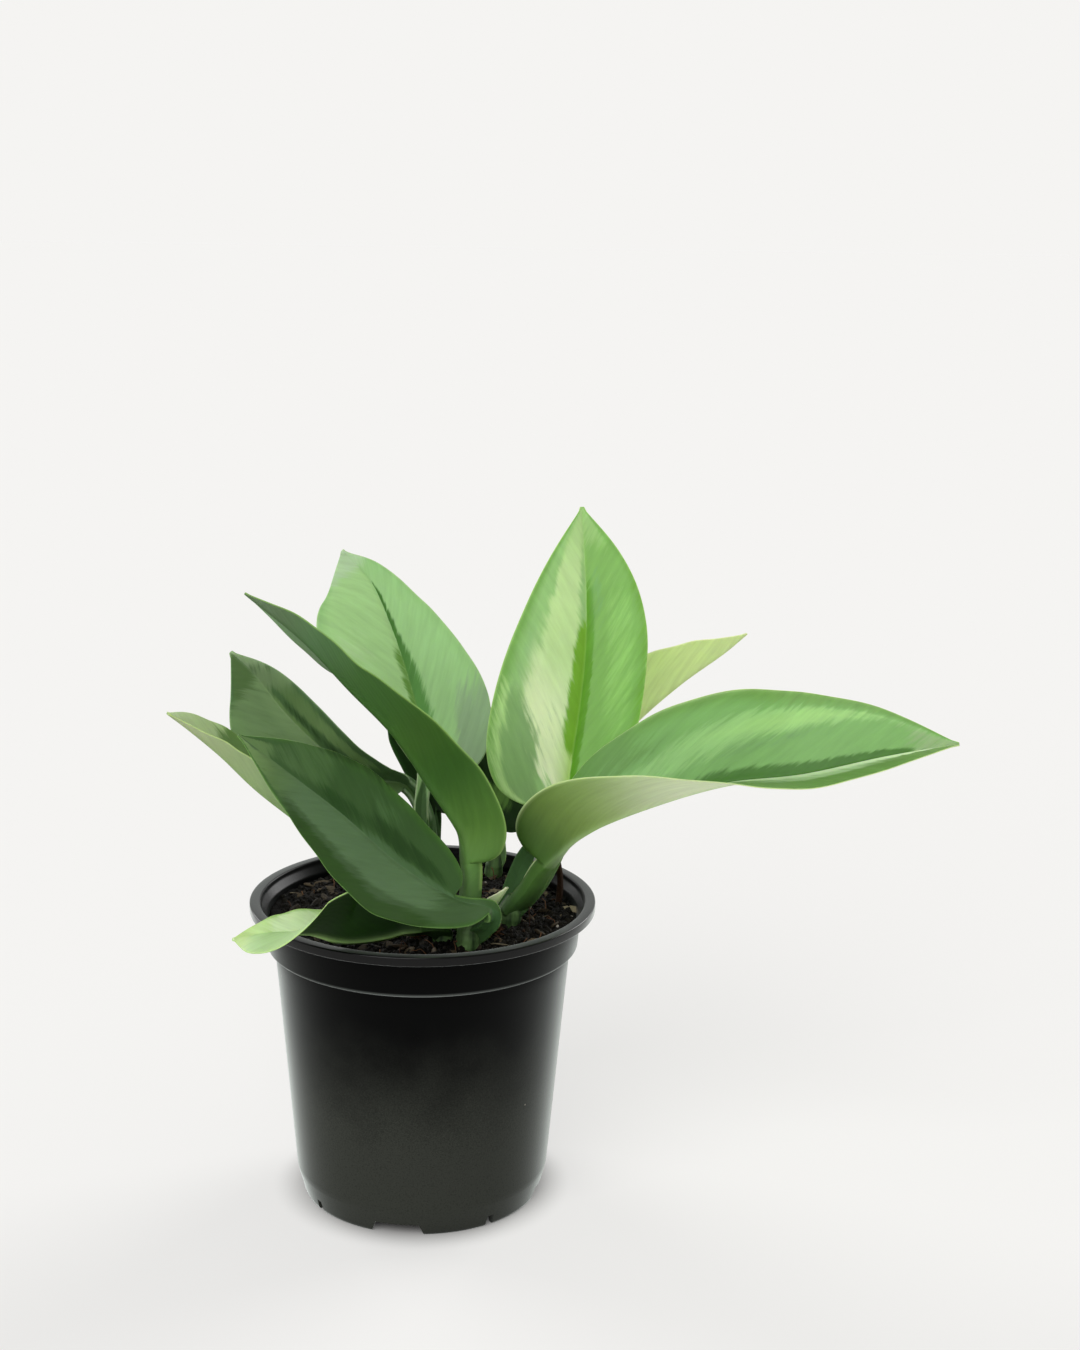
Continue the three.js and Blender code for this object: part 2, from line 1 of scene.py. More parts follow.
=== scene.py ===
"""The looks of a potted moonlight scindapsus: its leaves, stems, potting mix and nursery pot.

Sizes in the classes are millimetres, as on the real plant, and meshes are made in metres. The forms
of the leaves, the stems, the soil's surface and the pot follow the solids of the frame, with finer
faces, thinner blades and rounded edges.

A node's inputs are given by name or number. Those of a Map Range node are 0, the value, 1 and 2, the
range that it lies in, and 3 and 4, the range that it is turned to. Those of a Mix node are 0, the
share, and 6 and 7, the colours. Those of a Random Value node are 0 and 1, its limits as a vector, or
2 and 3, as a number.
"""

import logging
import math
from collections.abc import Iterator, Sequence
from dataclasses import dataclass, field
from enum import Enum

import bpy
import numpy as np
from mathutils import Matrix, Vector, noise


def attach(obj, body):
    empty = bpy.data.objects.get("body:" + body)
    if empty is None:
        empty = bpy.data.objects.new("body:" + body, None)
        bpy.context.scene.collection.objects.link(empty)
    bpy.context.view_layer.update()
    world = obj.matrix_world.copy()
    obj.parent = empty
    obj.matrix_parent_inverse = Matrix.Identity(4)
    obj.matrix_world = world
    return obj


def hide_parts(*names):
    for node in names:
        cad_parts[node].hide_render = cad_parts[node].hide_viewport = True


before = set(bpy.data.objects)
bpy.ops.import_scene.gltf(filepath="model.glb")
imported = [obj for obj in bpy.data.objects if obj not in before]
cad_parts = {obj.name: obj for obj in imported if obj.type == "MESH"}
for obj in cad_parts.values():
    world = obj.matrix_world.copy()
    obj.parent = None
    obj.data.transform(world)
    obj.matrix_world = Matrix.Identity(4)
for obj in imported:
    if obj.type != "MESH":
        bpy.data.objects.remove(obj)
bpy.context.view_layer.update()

log = logging.getLogger("scindapsus")
MM = 0.001
BODY = "root"

Material = bpy.types.Material
Mesh = bpy.types.Mesh
Node = bpy.types.Node
Object = bpy.types.Object
Tree = bpy.types.NodeTree
Point = Sequence[float]
Pair = tuple[float, float]

MATH = "ShaderNodeMath"
MIX = "ShaderNodeMix"
NOISE = "ShaderNodeTexNoise"
RANGE = "ShaderNodeMapRange"
VECTOR = "ShaderNodeVectorMath"
RANDOM = "FunctionNodeRandomValue"


def linear(colour: str) -> tuple[float, float, float, float]:
    """Turns an sRGB hex colour to the linear one that Blender works in.

    Args:
        colour: the colour, as "#RRGGBB".

    Returns:
        Red, green, blue and alpha, linear.
    """
    shares = [int(colour[i : i + 2], 16) / 255 for i in (1, 3, 5)]
    values = [v / 12.92 if v <= 0.04045 else ((v + 0.055) / 1.055) ** 2.4 for v in shares]
    return (*values, 1.0)


def smooth(low: float, high: float, value: np.ndarray) -> np.ndarray:
    """Rises smoothly from 0 to 1 between two values.

    Args:
        low: where it is 0.
        high: where it is 1.
        value: what to read it at.

    Returns:
        The risen values.
    """
    share = np.clip((value - low) / (high - low), 0, 1)
    return share * share * (3 - 2 * share)


def read_steps(steps: np.ndarray, where: np.ndarray) -> np.ndarray:
    """Reads values given at even steps from 0 to 1, smoothly anywhere between them.

    Args:
        steps: one row of values for each step.
        where: where to read, as shares from 0 to 1.

    Returns:
        One row of values for each place.
    """
    count = len(steps)
    place = np.clip(where, 0, 1) * (count - 1)
    here = np.minimum(place.astype(int), count - 2)
    s = (place - here)[:, None]
    before, start = steps[np.maximum(here - 1, 0)], steps[here]
    end, after = steps[here + 1], steps[np.minimum(here + 2, count - 1)]
    leaving, arriving, rise = (end - before) / 2, (after - start) / 2, end - start
    bend = 3 * rise - 2 * leaving - arriving + s * (leaving + arriving - 2 * rise)
    return start + s * (leaving + s * bend)


def seeded(state: int) -> Iterator[float]:
    """A repeatable stream of numbers from 0 to 1, the one that the solids are drawn with.

    Args:
        state: the seed.

    Yields:
        The next number.
    """
    while True:
        state = (state * 1664525 + 1013904223) % 4294967296
        yield state / 4294967296


class SmoothLine:
    """A smooth line through points, read by its share of length."""

    STEPS = 40

    def __init__(self, points: Sequence[Point]) -> None:
        """Samples a centripetal curve through the points.

        Args:
            points: the points, in order.
        """
        p = np.array(points, float)
        p = np.vstack([2 * p[0] - p[1], p, 2 * p[-1] - p[-2]])
        samples = []
        for a, b, c, d in zip(p, p[1:], p[2:], p[3:]):
            da, db, dc = (max(np.linalg.norm(v) ** 0.5, 1e-6) for v in (b - a, c - b, d - c))
            leaving = ((b - a) / da - (c - a) / (da + db) + (c - b) / db) * db
            arriving = ((c - b) / db - (d - b) / (db + dc) + (d - c) / dc) * db
            for k in range(self.STEPS):
                s = k / self.STEPS
                curve = (3 * c - 3 * b - 2 * leaving - arriving) * s * s
                samples.append(b + leaving * s + curve + (2 * b - 2 * c + leaving + arriving) * s**3)
        samples.append(p[-2])
        self.samples = np.array(samples)
        self.reach = np.r_[0, np.cumsum(np.linalg.norm(np.diff(self.samples, axis=0), axis=1))]

    @property
    def length(self) -> float:
        """The line's whole length."""
        return float(self.reach[-1])

    def share_of(self, index: int) -> float:
        """The share of the length at which the line passes one of its points."""
        return float(self.reach[self.STEPS * index] / self.length)

    def at(self, shares: np.ndarray) -> np.ndarray:
        """The points at some shares of the length."""
        where = np.asarray(shares) * self.length
        return np.stack([np.interp(where, self.reach, self.samples[:, k]) for k in range(3)], axis=1)

    def along(self, shares: np.ndarray) -> np.ndarray:
        """The directions at some shares of the length."""
        ahead = self.at(np.minimum(np.asarray(shares) + 0.003, 1))
        step = ahead - self.at(np.maximum(np.asarray(shares) - 0.003, 0))
        return step / np.linalg.norm(step, axis=1, keepdims=True)


def add_node(tree: Tree, kind: str, inputs: dict | None = None, **settings) -> Node:
    """Adds a node with its settings and links.

    Args:
        tree: the tree to add it to.
        kind: the node's type name.
        inputs: for an input's name or number, the output to link to it, the node whose first output
            to link to it, or the value to set.
        **settings: the node's own properties.

    Returns:
        The node.
    """
    node = tree.nodes.new(kind)
    for name, value in settings.items():
        setattr(node, name, value)
    for key, value in (inputs or {}).items():
        value = value.outputs[0] if isinstance(value, Node) else value
        if isinstance(value, bpy.types.NodeSocket):
            tree.links.new(value, node.inputs[key])
        else:
            node.inputs[key].default_value = value
    return node


def new_material(name: str) -> tuple[Material, Tree]:
    """Makes a material with an empty node tree.

    Args:
        name: the material's name.

    Returns:
        The material and its tree.
    """
    material = bpy.data.materials.new(name)
    material.use_nodes = True
    material.node_tree.nodes.clear()
    return material, material.node_tree


def close_material(tree: Tree, inputs: dict) -> None:
    """Ends a material in its surface shader.

    Args:
        tree: the material's tree.
        inputs: the shader's inputs.
    """
    shader = add_node(tree, "ShaderNodeBsdfPrincipled", inputs)
    add_node(tree, "ShaderNodeOutputMaterial", {"Surface": shader})


def new_piece(name: str, mesh: Mesh, materials: Sequence[Material]) -> Object:
    """Makes an object at the origin from a mesh that holds its place.

    Args:
        name: the object's name.
        mesh: its mesh, in metres.
        materials: one for each of its material slots.

    Returns:
        The object.
    """
    piece = bpy.data.objects.new(name, mesh)
    bpy.context.scene.collection.objects.link(piece)
    mesh.materials.clear()
    for material in materials:
        mesh.materials.append(material)
    return piece


def mesh_of(name: str, points: np.ndarray, faces: Sequence[Sequence[int]]) -> Mesh:
    """Makes a smooth mesh from points in millimetres.

    Args:
        name: the mesh's name.
        points: its points.
        faces: the numbers of each face's points.

    Returns:
        The mesh, in metres.
    """
    mesh = bpy.data.meshes.new(name)
    mesh.from_pydata((np.asarray(points) * MM).tolist(), [], faces)
    mesh.shade_smooth()
    return mesh


def without_modifiers(piece: Object) -> Mesh:
    """Turns what a piece's modifiers make of it to a plain mesh, and removes them."""
    graph = bpy.context.evaluated_depsgraph_get()
    mesh = bpy.data.meshes.new_from_object(piece.evaluated_get(graph))
    piece.modifiers.clear()
    return mesh


def settle(piece: Object, nodes: Sequence[str] = ()) -> None:
    """Makes a piece part of the object, and reports it.

    Args:
        piece: the piece.
        nodes: the solids that it stands for.
    """
    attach(piece, BODY)
    if nodes:
        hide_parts(*nodes)
    faces = sum(len(p.vertices) - 2 for p in piece.data.polygons)
    log.info("%s: %d triangles", piece.name, faces)


def loft(rings: np.ndarray) -> list[list[int]]:
    """The faces that close rows of rings into one body.

    Args:
        rings: the rings' points, by ring and then by place on it.

    Returns:
        The faces, for the rings' points in one row, followed by the two end points.
    """
    rows, size = rings.shape[:2]
    faces = []
    for r in range(rows - 1):
        for i in range(size):
            j = (i + 1) % size
            faces.append([r * size + i, r * size + j, (r + 1) * size + j, (r + 1) * size + i])
    first, top = rows * size, (rows - 1) * size
    for i in range(size):
        j = (i + 1) % size
        faces.append([first, j, i])
        faces.append([first + 1, top + i, top + j])
    return faces


def lofted(name: str, rings: np.ndarray) -> Mesh:
    """Makes a closed mesh from rows of rings, in millimetres, with a point in the middle of each end."""
    points = [rings.reshape(-1, 3), rings[0].mean(axis=0), rings[-1].mean(axis=0)]
    return mesh_of(name, np.vstack(points), loft(rings))


def around(sides: int) -> np.ndarray:
    """The angles of even steps round a circle."""
    return np.arange(sides) * 2 * np.pi / sides


def level_ring(radius: float, height: float, sides: int) -> np.ndarray:
    """The points of a level ring about the pot's axis."""
    turn = around(sides)
    return np.stack([radius * np.cos(turn), radius * np.sin(turn), np.full(sides, height)], axis=1)


def tube(points: Sequence[Point], radii: np.ndarray, sides: int) -> np.ndarray:
    """The rings of a round rod along a smooth line.

    Args:
        points: the points of its axis.
        radii: the radius of each ring, at even steps.
        sides: the number of points on a ring.

    Returns:
        The rings' points.
    """
    line = SmoothLine(points)
    shares = np.linspace(0, 1, len(radii))
    along = line.along(shares)
    reference = np.array([1.0, 0, 0] if abs(along[0][0]) < 0.8 else [0, 1.0, 0])
    across = reference - (along @ reference)[:, None] * along
    across /= np.linalg.norm(across, axis=1, keepdims=True)
    other = np.cross(along, across)
    turn = around(sides)
    spokes = across[:, None] * np.cos(turn)[None, :, None] + other[:, None] * np.sin(turn)[None, :, None]
    return line.at(shares)[:, None] + np.asarray(radii)[:, None, None] * spokes


# Finishes


class Layer(Enum):
    """A layer of colour brushed over the leaf's green."""

    SILVER = "silver"
    DEEP = "deep"


@dataclass(frozen=True)
class LivingLeaf:
    """A living leaf's skin: a waxy cuticle over green tissue.

    The eye sees broad soft highlights, hair-fine brush strokes of silver that run with the side
    veins, and very shallow quilting between those veins.
    """

    name: str
    roughness: float
    vein_depth: float  # mm
    cover: float = 0.88  # of a stroke's own cover
    streaks: float = 1.2  # how far the streaks break up the strokes
    streak_width: float = 1.5  # mm
    streak_length: float = 22  # mm
    edge: Pair = (0.3, 0.75)  # the cover at which a colour starts to show and the one at which it is full
    mottle: Pair = (0.84, 1.02)  # the lightness of the patches
    mottle_steps: Point = (0.42, 0.05, 1)  # patches in a millimetre, across the veins and along them
    vein_spacing: float = 3.1  # mm
    cell: float = 0.4  # mm, drawn coarser than real cells so that it shows
    shine: float = 0.3  # of the gloss of bare wax
    glow: float = 0.4  # how much light passes through the blade

    def make(self) -> Material:
        """Builds the material. It reads the blade's own colours and its map of the veins."""
        material, tree = new_material(self.name)
        veins = add_node(tree, "ShaderNodeUVMap", uv_map="veins")
        colour = add_node(tree, "ShaderNodeAttribute", attribute_name="ground")
        stretch = (1 / self.streak_width, 1 / self.streak_length, 1)
        for layer, shift in ((Layer.SILVER, 0.0), (Layer.DEEP, 37.0)):
            paint = add_node(tree, "ShaderNodeAttribute", attribute_name=layer.value)
            moved = add_node(tree, VECTOR, {0: veins, 1: (shift, shift, 0)}, operation="ADD")
            place = add_node(tree, VECTOR, {0: moved, 1: stretch}, operation="MULTIPLY")
            fine = add_node(tree, NOISE, {"Vector": place, "Scale": 1.0, "Detail": 5.0, "Roughness": 0.68})
            swing = {0: fine, 1: self.streaks, 2: -self.streaks / 2}
            swung = add_node(tree, MATH, swing, operation="MULTIPLY_ADD")
            laid = {0: paint.outputs["Alpha"], 1: self.cover, 2: swung}
            cover = add_node(tree, MATH, laid, operation="MULTIPLY_ADD")
            soft = {0: cover, 1: self.edge[0], 2: self.edge[1], 3: 0.0, 4: 1.0}
            mask = add_node(tree, RANGE, soft, interpolation_type="SMOOTHSTEP")
            colour = add_node(tree, MIX, {0: mask, 6: colour, 7: paint}, data_type="RGBA").outputs[2]
        grain = add_node(tree, VECTOR, {0: veins, 1: self.mottle_steps}, operation="MULTIPLY")
        mottle = add_node(tree, NOISE, {"Vector": grain, "Scale": 1.0, "Detail": 5.0, "Roughness": 0.62})
        value = add_node(tree, RANGE, {0: mottle, 1: 0.3, 2: 0.7, 3: self.mottle[0], 4: self.mottle[1]})
        colour = add_node(tree, "ShaderNodeHueSaturation", {"Value": value, "Color": colour})
        bands = {"Vector": veins, "Scale": 1 / (2 * self.vein_spacing)}
        bent = {"Distortion": 9.0, "Detail": 2.0, "Detail Scale": 0.12}
        ridges = add_node(tree, "ShaderNodeTexWave", {**bands, **bent}).outputs[1]
        cells = add_node(tree, NOISE, {"Vector": veins, "Scale": 1 / self.cell, "Detail": 2.0})
        relief = add_node(tree, MATH, {0: cells, 1: 0.25, 2: ridges}, operation="MULTIPLY_ADD")
        bump = add_node(tree, "ShaderNodeBump", {"Height": relief, "Distance": self.vein_depth * MM})
        close_material(
            tree,
            {
                "Normal": bump,
                "Base Color": colour,
                "Roughness": self.roughness,
                "IOR": 1.42,
                "Specular IOR Level": self.shine,
                "Subsurface Weight": self.glow,
                "Subsurface Radius": (0.9, 1.2, 0.4),
                "Subsurface Scale": MM,
            },
        )
        return material


@dataclass(frozen=True)
class FleshyStem:
    """A living stem: smooth skin, mottled darker and lighter, with pale flecks and a soft sheen."""

    name: str
    light: str = "#5F7F4A"
    dark: str = "#243B1C"
    fleck: float = 0.9  # mm
    relief: float = 0.12  # mm

    def make(self) -> Material:
        """Builds the material."""
        material, tree = new_material(self.name)
        place = add_node(tree, "ShaderNodeTexCoord").outputs["Object"]
        drawn_out = add_node(tree, VECTOR, {0: place, 1: (1 / MM, 1 / MM, 0.25 / MM)}, operation="MULTIPLY")
        patches = add_node(tree, NOISE, {"Vector": drawn_out, "Scale": 1 / (3 * self.fleck), "Detail": 4.0})
        share = add_node(tree, RANGE, {0: patches, 1: 0.35, 2: 0.65, 3: 0.0, 4: 1.0})
        mixed = {0: share, 6: linear(self.dark), 7: linear(self.light)}
        colour = add_node(tree, MIX, mixed, data_type="RGBA").outputs[2]
        lines = add_node(tree, NOISE, {"Vector": drawn_out, "Scale": 1 / self.fleck, "Detail": 3.0})
        bump = add_node(tree, "ShaderNodeBump", {"Height": lines, "Distance": self.relief * MM})
        gloss = {"Roughness": 0.5, "IOR": 1.42, "Specular IOR Level": 0.35}
        close_material(tree, {"Normal": bump, "Base Color": colour, **gloss})
        return material


@dataclass(frozen=True)
class DryPlant:
    """Dead plant matter, such as bark, dry roots and peat: rough, dull and uneven in colour."""

    name: str
    dark: str
    light: str
    grain: float = 0.8  # mm
    depth: float = 0.35  # mm
    roughness: float = 0.85

    def make(self) -> Material:
        """Builds the material. Each scattered grain brings a tone of its own."""
        material, tree = new_material(self.name)
        place = add_node(tree, "ShaderNodeTexCoord").outputs["Object"]
        tone = add_node(tree, "ShaderNodeAttribute", attribute_name="tone").outputs["Fac"]
        grit = {"Vector": place, "Scale": 1 / (self.grain * MM), "Detail": 5.0, "Roughness": 0.65}
        grain = add_node(tree, NOISE, grit)
        mixed = add_node(tree, MATH, {0: grain, 1: 0.8, 2: -0.4}, operation="MULTIPLY_ADD")
        share = add_node(tree, MATH, {0: mixed, 1: tone}, operation="ADD", use_clamp=True)
        tones = {0: share, 6: linear(self.dark), 7: linear(self.light)}
        colour = add_node(tree, MIX, tones, data_type="RGBA").outputs[2]
        bump = add_node(tree, "ShaderNodeBump", {"Height": grain, "Distance": self.depth * MM})
        gloss = {"Roughness": self.roughness, "Specular IOR Level": 0.1}
        close_material(tree, {"Normal": bump, "Base Color": colour, **gloss})
        return material


@dataclass(frozen=True)
class BlackPolypropylene:
    """Black polypropylene, injection moulded: deep black, greyer downwards with dust and a painted
    reflection of the floor.

    The dust gives the grazing edges a grey veil. A highlight is painted along the collar's lower edge,
    and a few specks of dried soil cling to it.
    """

    name: str
    roughness: float
    shine: float  # of the gloss of bare plastic
    haze: float  # how much light the dust catches at grazing angles
    skin: str = "#020202"
    # dust, with a painted reflection of the floor, greys the black towards the bottom
    dust_and_reflection: str = "#31332E"
    # the colour of the highlight painted along the collar's lower edge
    painted_highlight: str = "#4E524F"
    soil: str = "#8C877C"
    blackest_above: float = 82  # mm
    greyest_below: float = 22  # mm
    drift: float = 26  # mm, how far the edge of the dust and painted reflection wanders
    cloud: float = 16  # mm
    grain: float = 0.5  # mm, drawn coarser than real dust so that it shows
    edge_highlight: Pair = (0.2, 0.8)  # mm from the collar's lower edge: the painted highlight is full within the first, gone past the second
    speck: float = 0.45  # mm
    speck_spacing: float = 9  # mm
    relief: float = 0.02  # mm

    def make(self, edge: float) -> Material:
        """Builds the material.

        Args:
            edge: the height of the collar's lower edge, along which a highlight is painted, in millimetres.

        Returns:
            The material.
        """
        material, tree = new_material(self.name)
        place = add_node(tree, "ShaderNodeTexCoord").outputs["Object"]
        height = add_node(tree, "ShaderNodeSeparateXYZ", {0: place}).outputs[2]
        fine = add_node(tree, NOISE, {"Vector": place, "Scale": 1 / (self.grain * MM), "Detail": 3.0})

        # dust and a painted reflection of the floor lie thick below and thin out upwards, with a drifting
        # edge
        cloud = add_node(tree, NOISE, {"Vector": place, "Scale": 1 / (self.cloud * MM), "Detail": 5.0})
        drift = add_node(tree, MATH, {0: cloud, 1: self.drift * MM, 2: height}, operation="MULTIPLY_ADD")
        low, high = ((level + self.drift / 2) * MM for level in (self.greyest_below, self.blackest_above))
        ramp_down = {0: drift, 1: low, 2: high, 3: 1.0, 4: 0.0}
        veil = add_node(tree, RANGE, ramp_down, interpolation_type="SMOOTHSTEP")
        grainy = add_node(tree, RANGE, {0: fine, 1: 0.3, 2: 0.7, 3: 0.7, 4: 1.3})
        dust = add_node(tree, MATH, {0: veil, 1: grainy}, operation="MULTIPLY", use_clamp=True)

        # a highlight is painted along the collar's lower edge
        away = add_node(tree, MATH, {0: height, 1: edge * MM}, operation="SUBTRACT")
        off = add_node(tree, MATH, {0: away}, operation="ABSOLUTE")
        near, far = (reach * MM for reach in self.edge_highlight)
        edge_highlight = add_node(tree, RANGE, {0: off, 1: near, 2: far, 3: 0.7, 4: 0.0})

        # a third of the cells of a net hold a speck
        net = {"Vector": place, "Scale": 1 / (self.speck_spacing * MM)}
        spots = add_node(tree, "ShaderNodeTexVoronoi", net)
        size = self.speck / self.speck_spacing
        speck = add_node(tree, RANGE, {0: spots, 1: size / 2, 2: size, 3: 0.8, 4: 0.0})
        drawn = add_node(tree, "ShaderNodeSeparateColor", {0: spots.outputs[1]})
        few = add_node(tree, MATH, {0: drawn, 1: 0.66}, operation="GREATER_THAN")
        shown = add_node(tree, MATH, {0: speck, 1: few}, operation="MULTIPLY")

        colour = linear(self.skin)
        for share, over in ((dust, self.dust_and_reflection), (edge_highlight, self.painted_highlight), (shown, self.soil)):
            mixed = {0: share, 6: colour, 7: linear(over)}
            colour = add_node(tree, MIX, mixed, data_type="RGBA").outputs[2]
        bump = add_node(tree, "ShaderNodeBump", {"Height": fine, "Distance": self.relief * MM})
        close_material(
            tree,
            {
                "Normal": bump,
                "Base Color": colour,
                "Roughness": self.roughness,
                "Specular IOR Level": self.shine,
                "Sheen Weight": self.haze,
                "Sheen Roughness": 0.3,
                "Sheen Tint": linear("#F0F8F4"),
            },
        )
        return material


# Leaves


class Half(Enum):
    """Half of a blade, seen from above with the tip away."""

    LEFT = -1
    RIGHT = 1
    BOTH = 0


@dataclass(frozen=True)
class Stroke:
    """A soft-edged field of colour on the upper face.

    across runs from the midrib, 0, to the margin, 1, and along from the base, 0, to the tip, 1. soft
    gives how wide its edges are each way. With a slant, the field moves towards the tip on its way to
    the margin, by this share of the length.
    """

    half: Half
    colour: str
    across: Pair
    along: Pair
    soft: Pair
    layer: Layer = Layer.SILVER
    strength: float = 1.0
    slant: float = 0.0

    def weight(self, side: np.ndarray, share: np.ndarray, t: np.ndarray) -> np.ndarray:
        """How strongly it covers each point.

        Args:
            side: -1 on the left half and 1 on the right one.
            share: the share of the half width.
            t: the share of the length.

        Returns:
            The cover, from 0 to 1.
        """
        a, b = self.soft[0] / 2, self.soft[1] / 2
        inner, outer = self.across
        inside = smooth(inner - a, inner + a, share + (inner <= 0))
        outside = 1 - smooth(outer - a, outer + a, share - (outer >= 1))
        first, last = self.along
        place = t - self.slant * share
        start = smooth(first - b, first + b, place + 2 * (first <= (-1 if self.slant else 0)))
        end = 1 - smooth(last - b, last + b, place - 2 * (last >= 1))
        here = np.ones_like(share) if self.half is Half.BOTH else (side * self.half.value > 0).astype(float)
        return self.strength * here * inside * outside * start * end


@dataclass(frozen=True)
class Paint:
    """The colours of one leaf.

    ground is the green of the left and the right half, margin the band along the edge, under the
    lower face from base to tip, under_right that of its right half if it differs, and edge the thin
    line where light comes through the rim.
    """

    ground: tuple[str, str]
    margin: str
    under: tuple[str, ...]
    petiole: tuple[str, str]
    strokes: tuple[Stroke, ...] = ()
    under_right: tuple[str, ...] = ()
    edge: str = "#B5CC88"
    rib: str = "#8DB06A"

    MARGIN = (0.8, 0.97)  # where the margin's colour starts and where it is full, of the half width
    RIM = (0.968, 0.992)  # where the light through the rim does
    GLOW = 0.7  # of that light
    SEAM = (0.5, 0.45)  # mm and strength of the midrib's line on the upper face
    KEEL = (1.1, 0.5)  # mm and strength of it on the lower face


@dataclass
class Blade:
    """A leaf with its petiole, as one thin body.

    rib holds points from the stem's axis to the tip, and neck is the one where the blade starts.
    face is where the upper side looks, at even steps from base to tip. half, widest, taper and
    blunt give each half's outline, and start the share of the length where it begins. left and right
    give each half's fold at the midrib and its curl towards the margin, in degrees, at even steps,
    and right is the same as left if it isn't given.
    """

    name: str
    rib: Sequence[Point]
    neck: int
    face: Sequence[Point]
    half: Pair
    widest: Pair
    taper: Pair
    left: Sequence[Pair]
    petiole: Pair  # its half width at the stem and at the blade
    right: Sequence[Pair] = ()
    slot: str = "leaf"
    blunt: Pair = (2.8, 2.8)
    start: Pair = (0, 0)
    node: str = ""
    lobe: float = 7  # how far the base reaches back beside the petiole
    lobe_end: float = 0.3  # of the length
    wave: float = 0.4
    ripple: float = 0.22
    ripples: float = 6.5  # from base to tip
    pinch: float = 0.22  # how much narrower the very tip is
    tip_half_width: float = 0.35
    middle: float = 0.75  # its thickness beside the midrib
    margin: float = 0.4  # its thickness at the margin
    groove: Pair = (0.35, 0.8)  # depth and breadth of the one over the midrib
    keel: tuple[Pair, Pair] = ((2.1, 1.9), (0.8, 0.8))  # thickness and breadth, at base and tip
    swell: float = 1.3  # of the petiole's thickness to its half width
    blade_rows: int = 104
    petiole_rows: int = 22
    vein_slope: float = 1.7
    half_apart: float = 400  # between the maps of the veins of both halves
    leaf_apart: float = 53

    SHARES = (
        *(0, 0.02, 0.045, 0.08, 0.12, 0.17, 0.23, 0.3, 0.38),
        *(0.46, 0.55, 0.64, 0.73, 0.81, 0.88, 0.94, 0.975, 1),
    )

    def stations(self, line: SmoothLine) -> tuple[np.ndarray, np.ndarray]:
        """Where the rings stand.

        Args:
            line: the rib.

        Returns:
            Their shares of the rib's length, and of the blade's length, which are negative on the
            petiole.
        """
        stalk = np.linspace(-1, 0, self.petiole_rows, endpoint=False)
        t = np.r_[stalk, np.linspace(0, 1, self.blade_rows) ** 1.6]
        neck = line.share_of(self.neck)
        return np.where(t < 0, neck * (1 + t), neck + (1 - neck) * t), t

    def spread(self, half: int, t: np.ndarray) -> np.ndarray:
        """The half width, as a share of the greatest one, with 0 before the half begins."""
        widest = self.widest[half]
        opening = np.clip(t / widest, 0, 1)
        closing = np.clip((t - widest) / (1 - widest), 0, 1)
        start = (1 - (1 - opening) ** self.blunt[half]) ** (1 / self.blunt[half])
        end = (1 - closing ** self.taper[half]) * (1 - self.pinch * closing**10)
        return np.where(t < widest, start, end)

    def build(self, paint: Paint) -> Mesh:
        """Makes the leaf's mesh with its colours and its map of the veins."""
        line = SmoothLine(self.rib)
        u, t = self.stations(line)
        centre, along = line.at(u), line.along(u)
        up = read_steps(np.array(self.face, float), t)
        up -= np.sum(up * along, axis=1, keepdims=True) * along
        up /= np.linalg.norm(up, axis=1, keepdims=True)
        right = np.cross(along, up)

        q = np.r_[-np.array(self.SHARES[:0:-1]), self.SHARES]
        side, share = np.sign(q)[None, :], np.abs(q)[None, :]
        row = t[:, None]

        def by_half(on_left: np.ndarray | float, on_right: np.ndarray | float) -> np.ndarray:
            """Gives each point its half's value."""
            return np.where(side > 0, on_right, on_left)

        def lifted(values: np.ndarray) -> np.ndarray:
            """Makes values fit for points."""
            return values[:, :, None]

        start = by_half(*self.start)
        begun = (row - start) / (1 - start)
        opened = np.where(begun > 0, by_half(self.spread(0, begun), self.spread(1, begun)), 0)
        stalk = self.petiole[1] + (self.petiole[0] - self.petiole[1]) * np.maximum(-row, 0)
        width = np.maximum(by_half(*self.half) * opened, stalk * np.minimum(1 - row, 1) ** 8)
        width = np.maximum(width, self.tip_half_width)
        keys = (self.left, self.right or self.left)
        turns = [np.radians(read_steps(np.array(steps, float), t)) for steps in keys]
        fold, curl = (by_half(turns[0][:, part], turns[1][:, part]) for part in (slice(1), slice(1, 2)))
        bend = np.where(np.abs(curl) < 1e-3, 1e-3, curl)
        out = width * (np.sin(fold + bend * share) - np.sin(fold)) / bend
        rise = width * (np.cos(fold) - np.cos(fold + bend * share)) / bend
        settled = smooth(0, 0.1, row)
        wave = self.wave * np.sin(4 * np.pi * row + 2 * side)
        crests = 2 * np.pi * (self.ripples * row + 0.2 * self.half[0]) + 1.3 * side
        sway = wave + self.ripple * np.sin(crests)
        rise = rise + share**2 * settled * np.minimum(1, 4 * (1 - row)) * sway
        back = self.lobe * opened * share**2 * np.maximum(1 - begun / self.lobe_end, 0) ** 2
        turn = fold + curl * share
        normal = up[:, None] * lifted(np.cos(turn)) - right[:, None] * lifted(side * np.sin(turn))
        outward = right[:, None] * lifted(side * np.cos(turn)) + up[:, None] * lifted(np.sin(turn))
        upper = centre[:, None] + right[:, None] * lifted(side * out) + up[:, None] * lifted(rise)
        upper = upper - along[:, None] * lifted(back)
        away = width * share
        depth, breadth = self.groove
        valley = depth * settled * np.clip(1.15 - row, 0, 1) * np.exp(-((away / breadth) ** 2))
        flat = self.middle + (self.margin - self.middle) * share
        keel, broad = (a + (b - a) * np.clip(row, 0, 1) for a, b in zip(*self.keel))
        thin = flat + (keel - flat) * np.exp(-((away / broad) ** 2))
        rod = 1 + self.swell * stalk * np.sqrt(np.maximum(1 - share**2, 0))
        thick = rod + (thin - rod) * settled
        lower = upper - normal * lifted(thick)
        upper = upper - normal * lifted(np.minimum(valley, thick * 0.4))
        rims = (upper + lower) / 2 + outward * lifted(thick * 0.45)

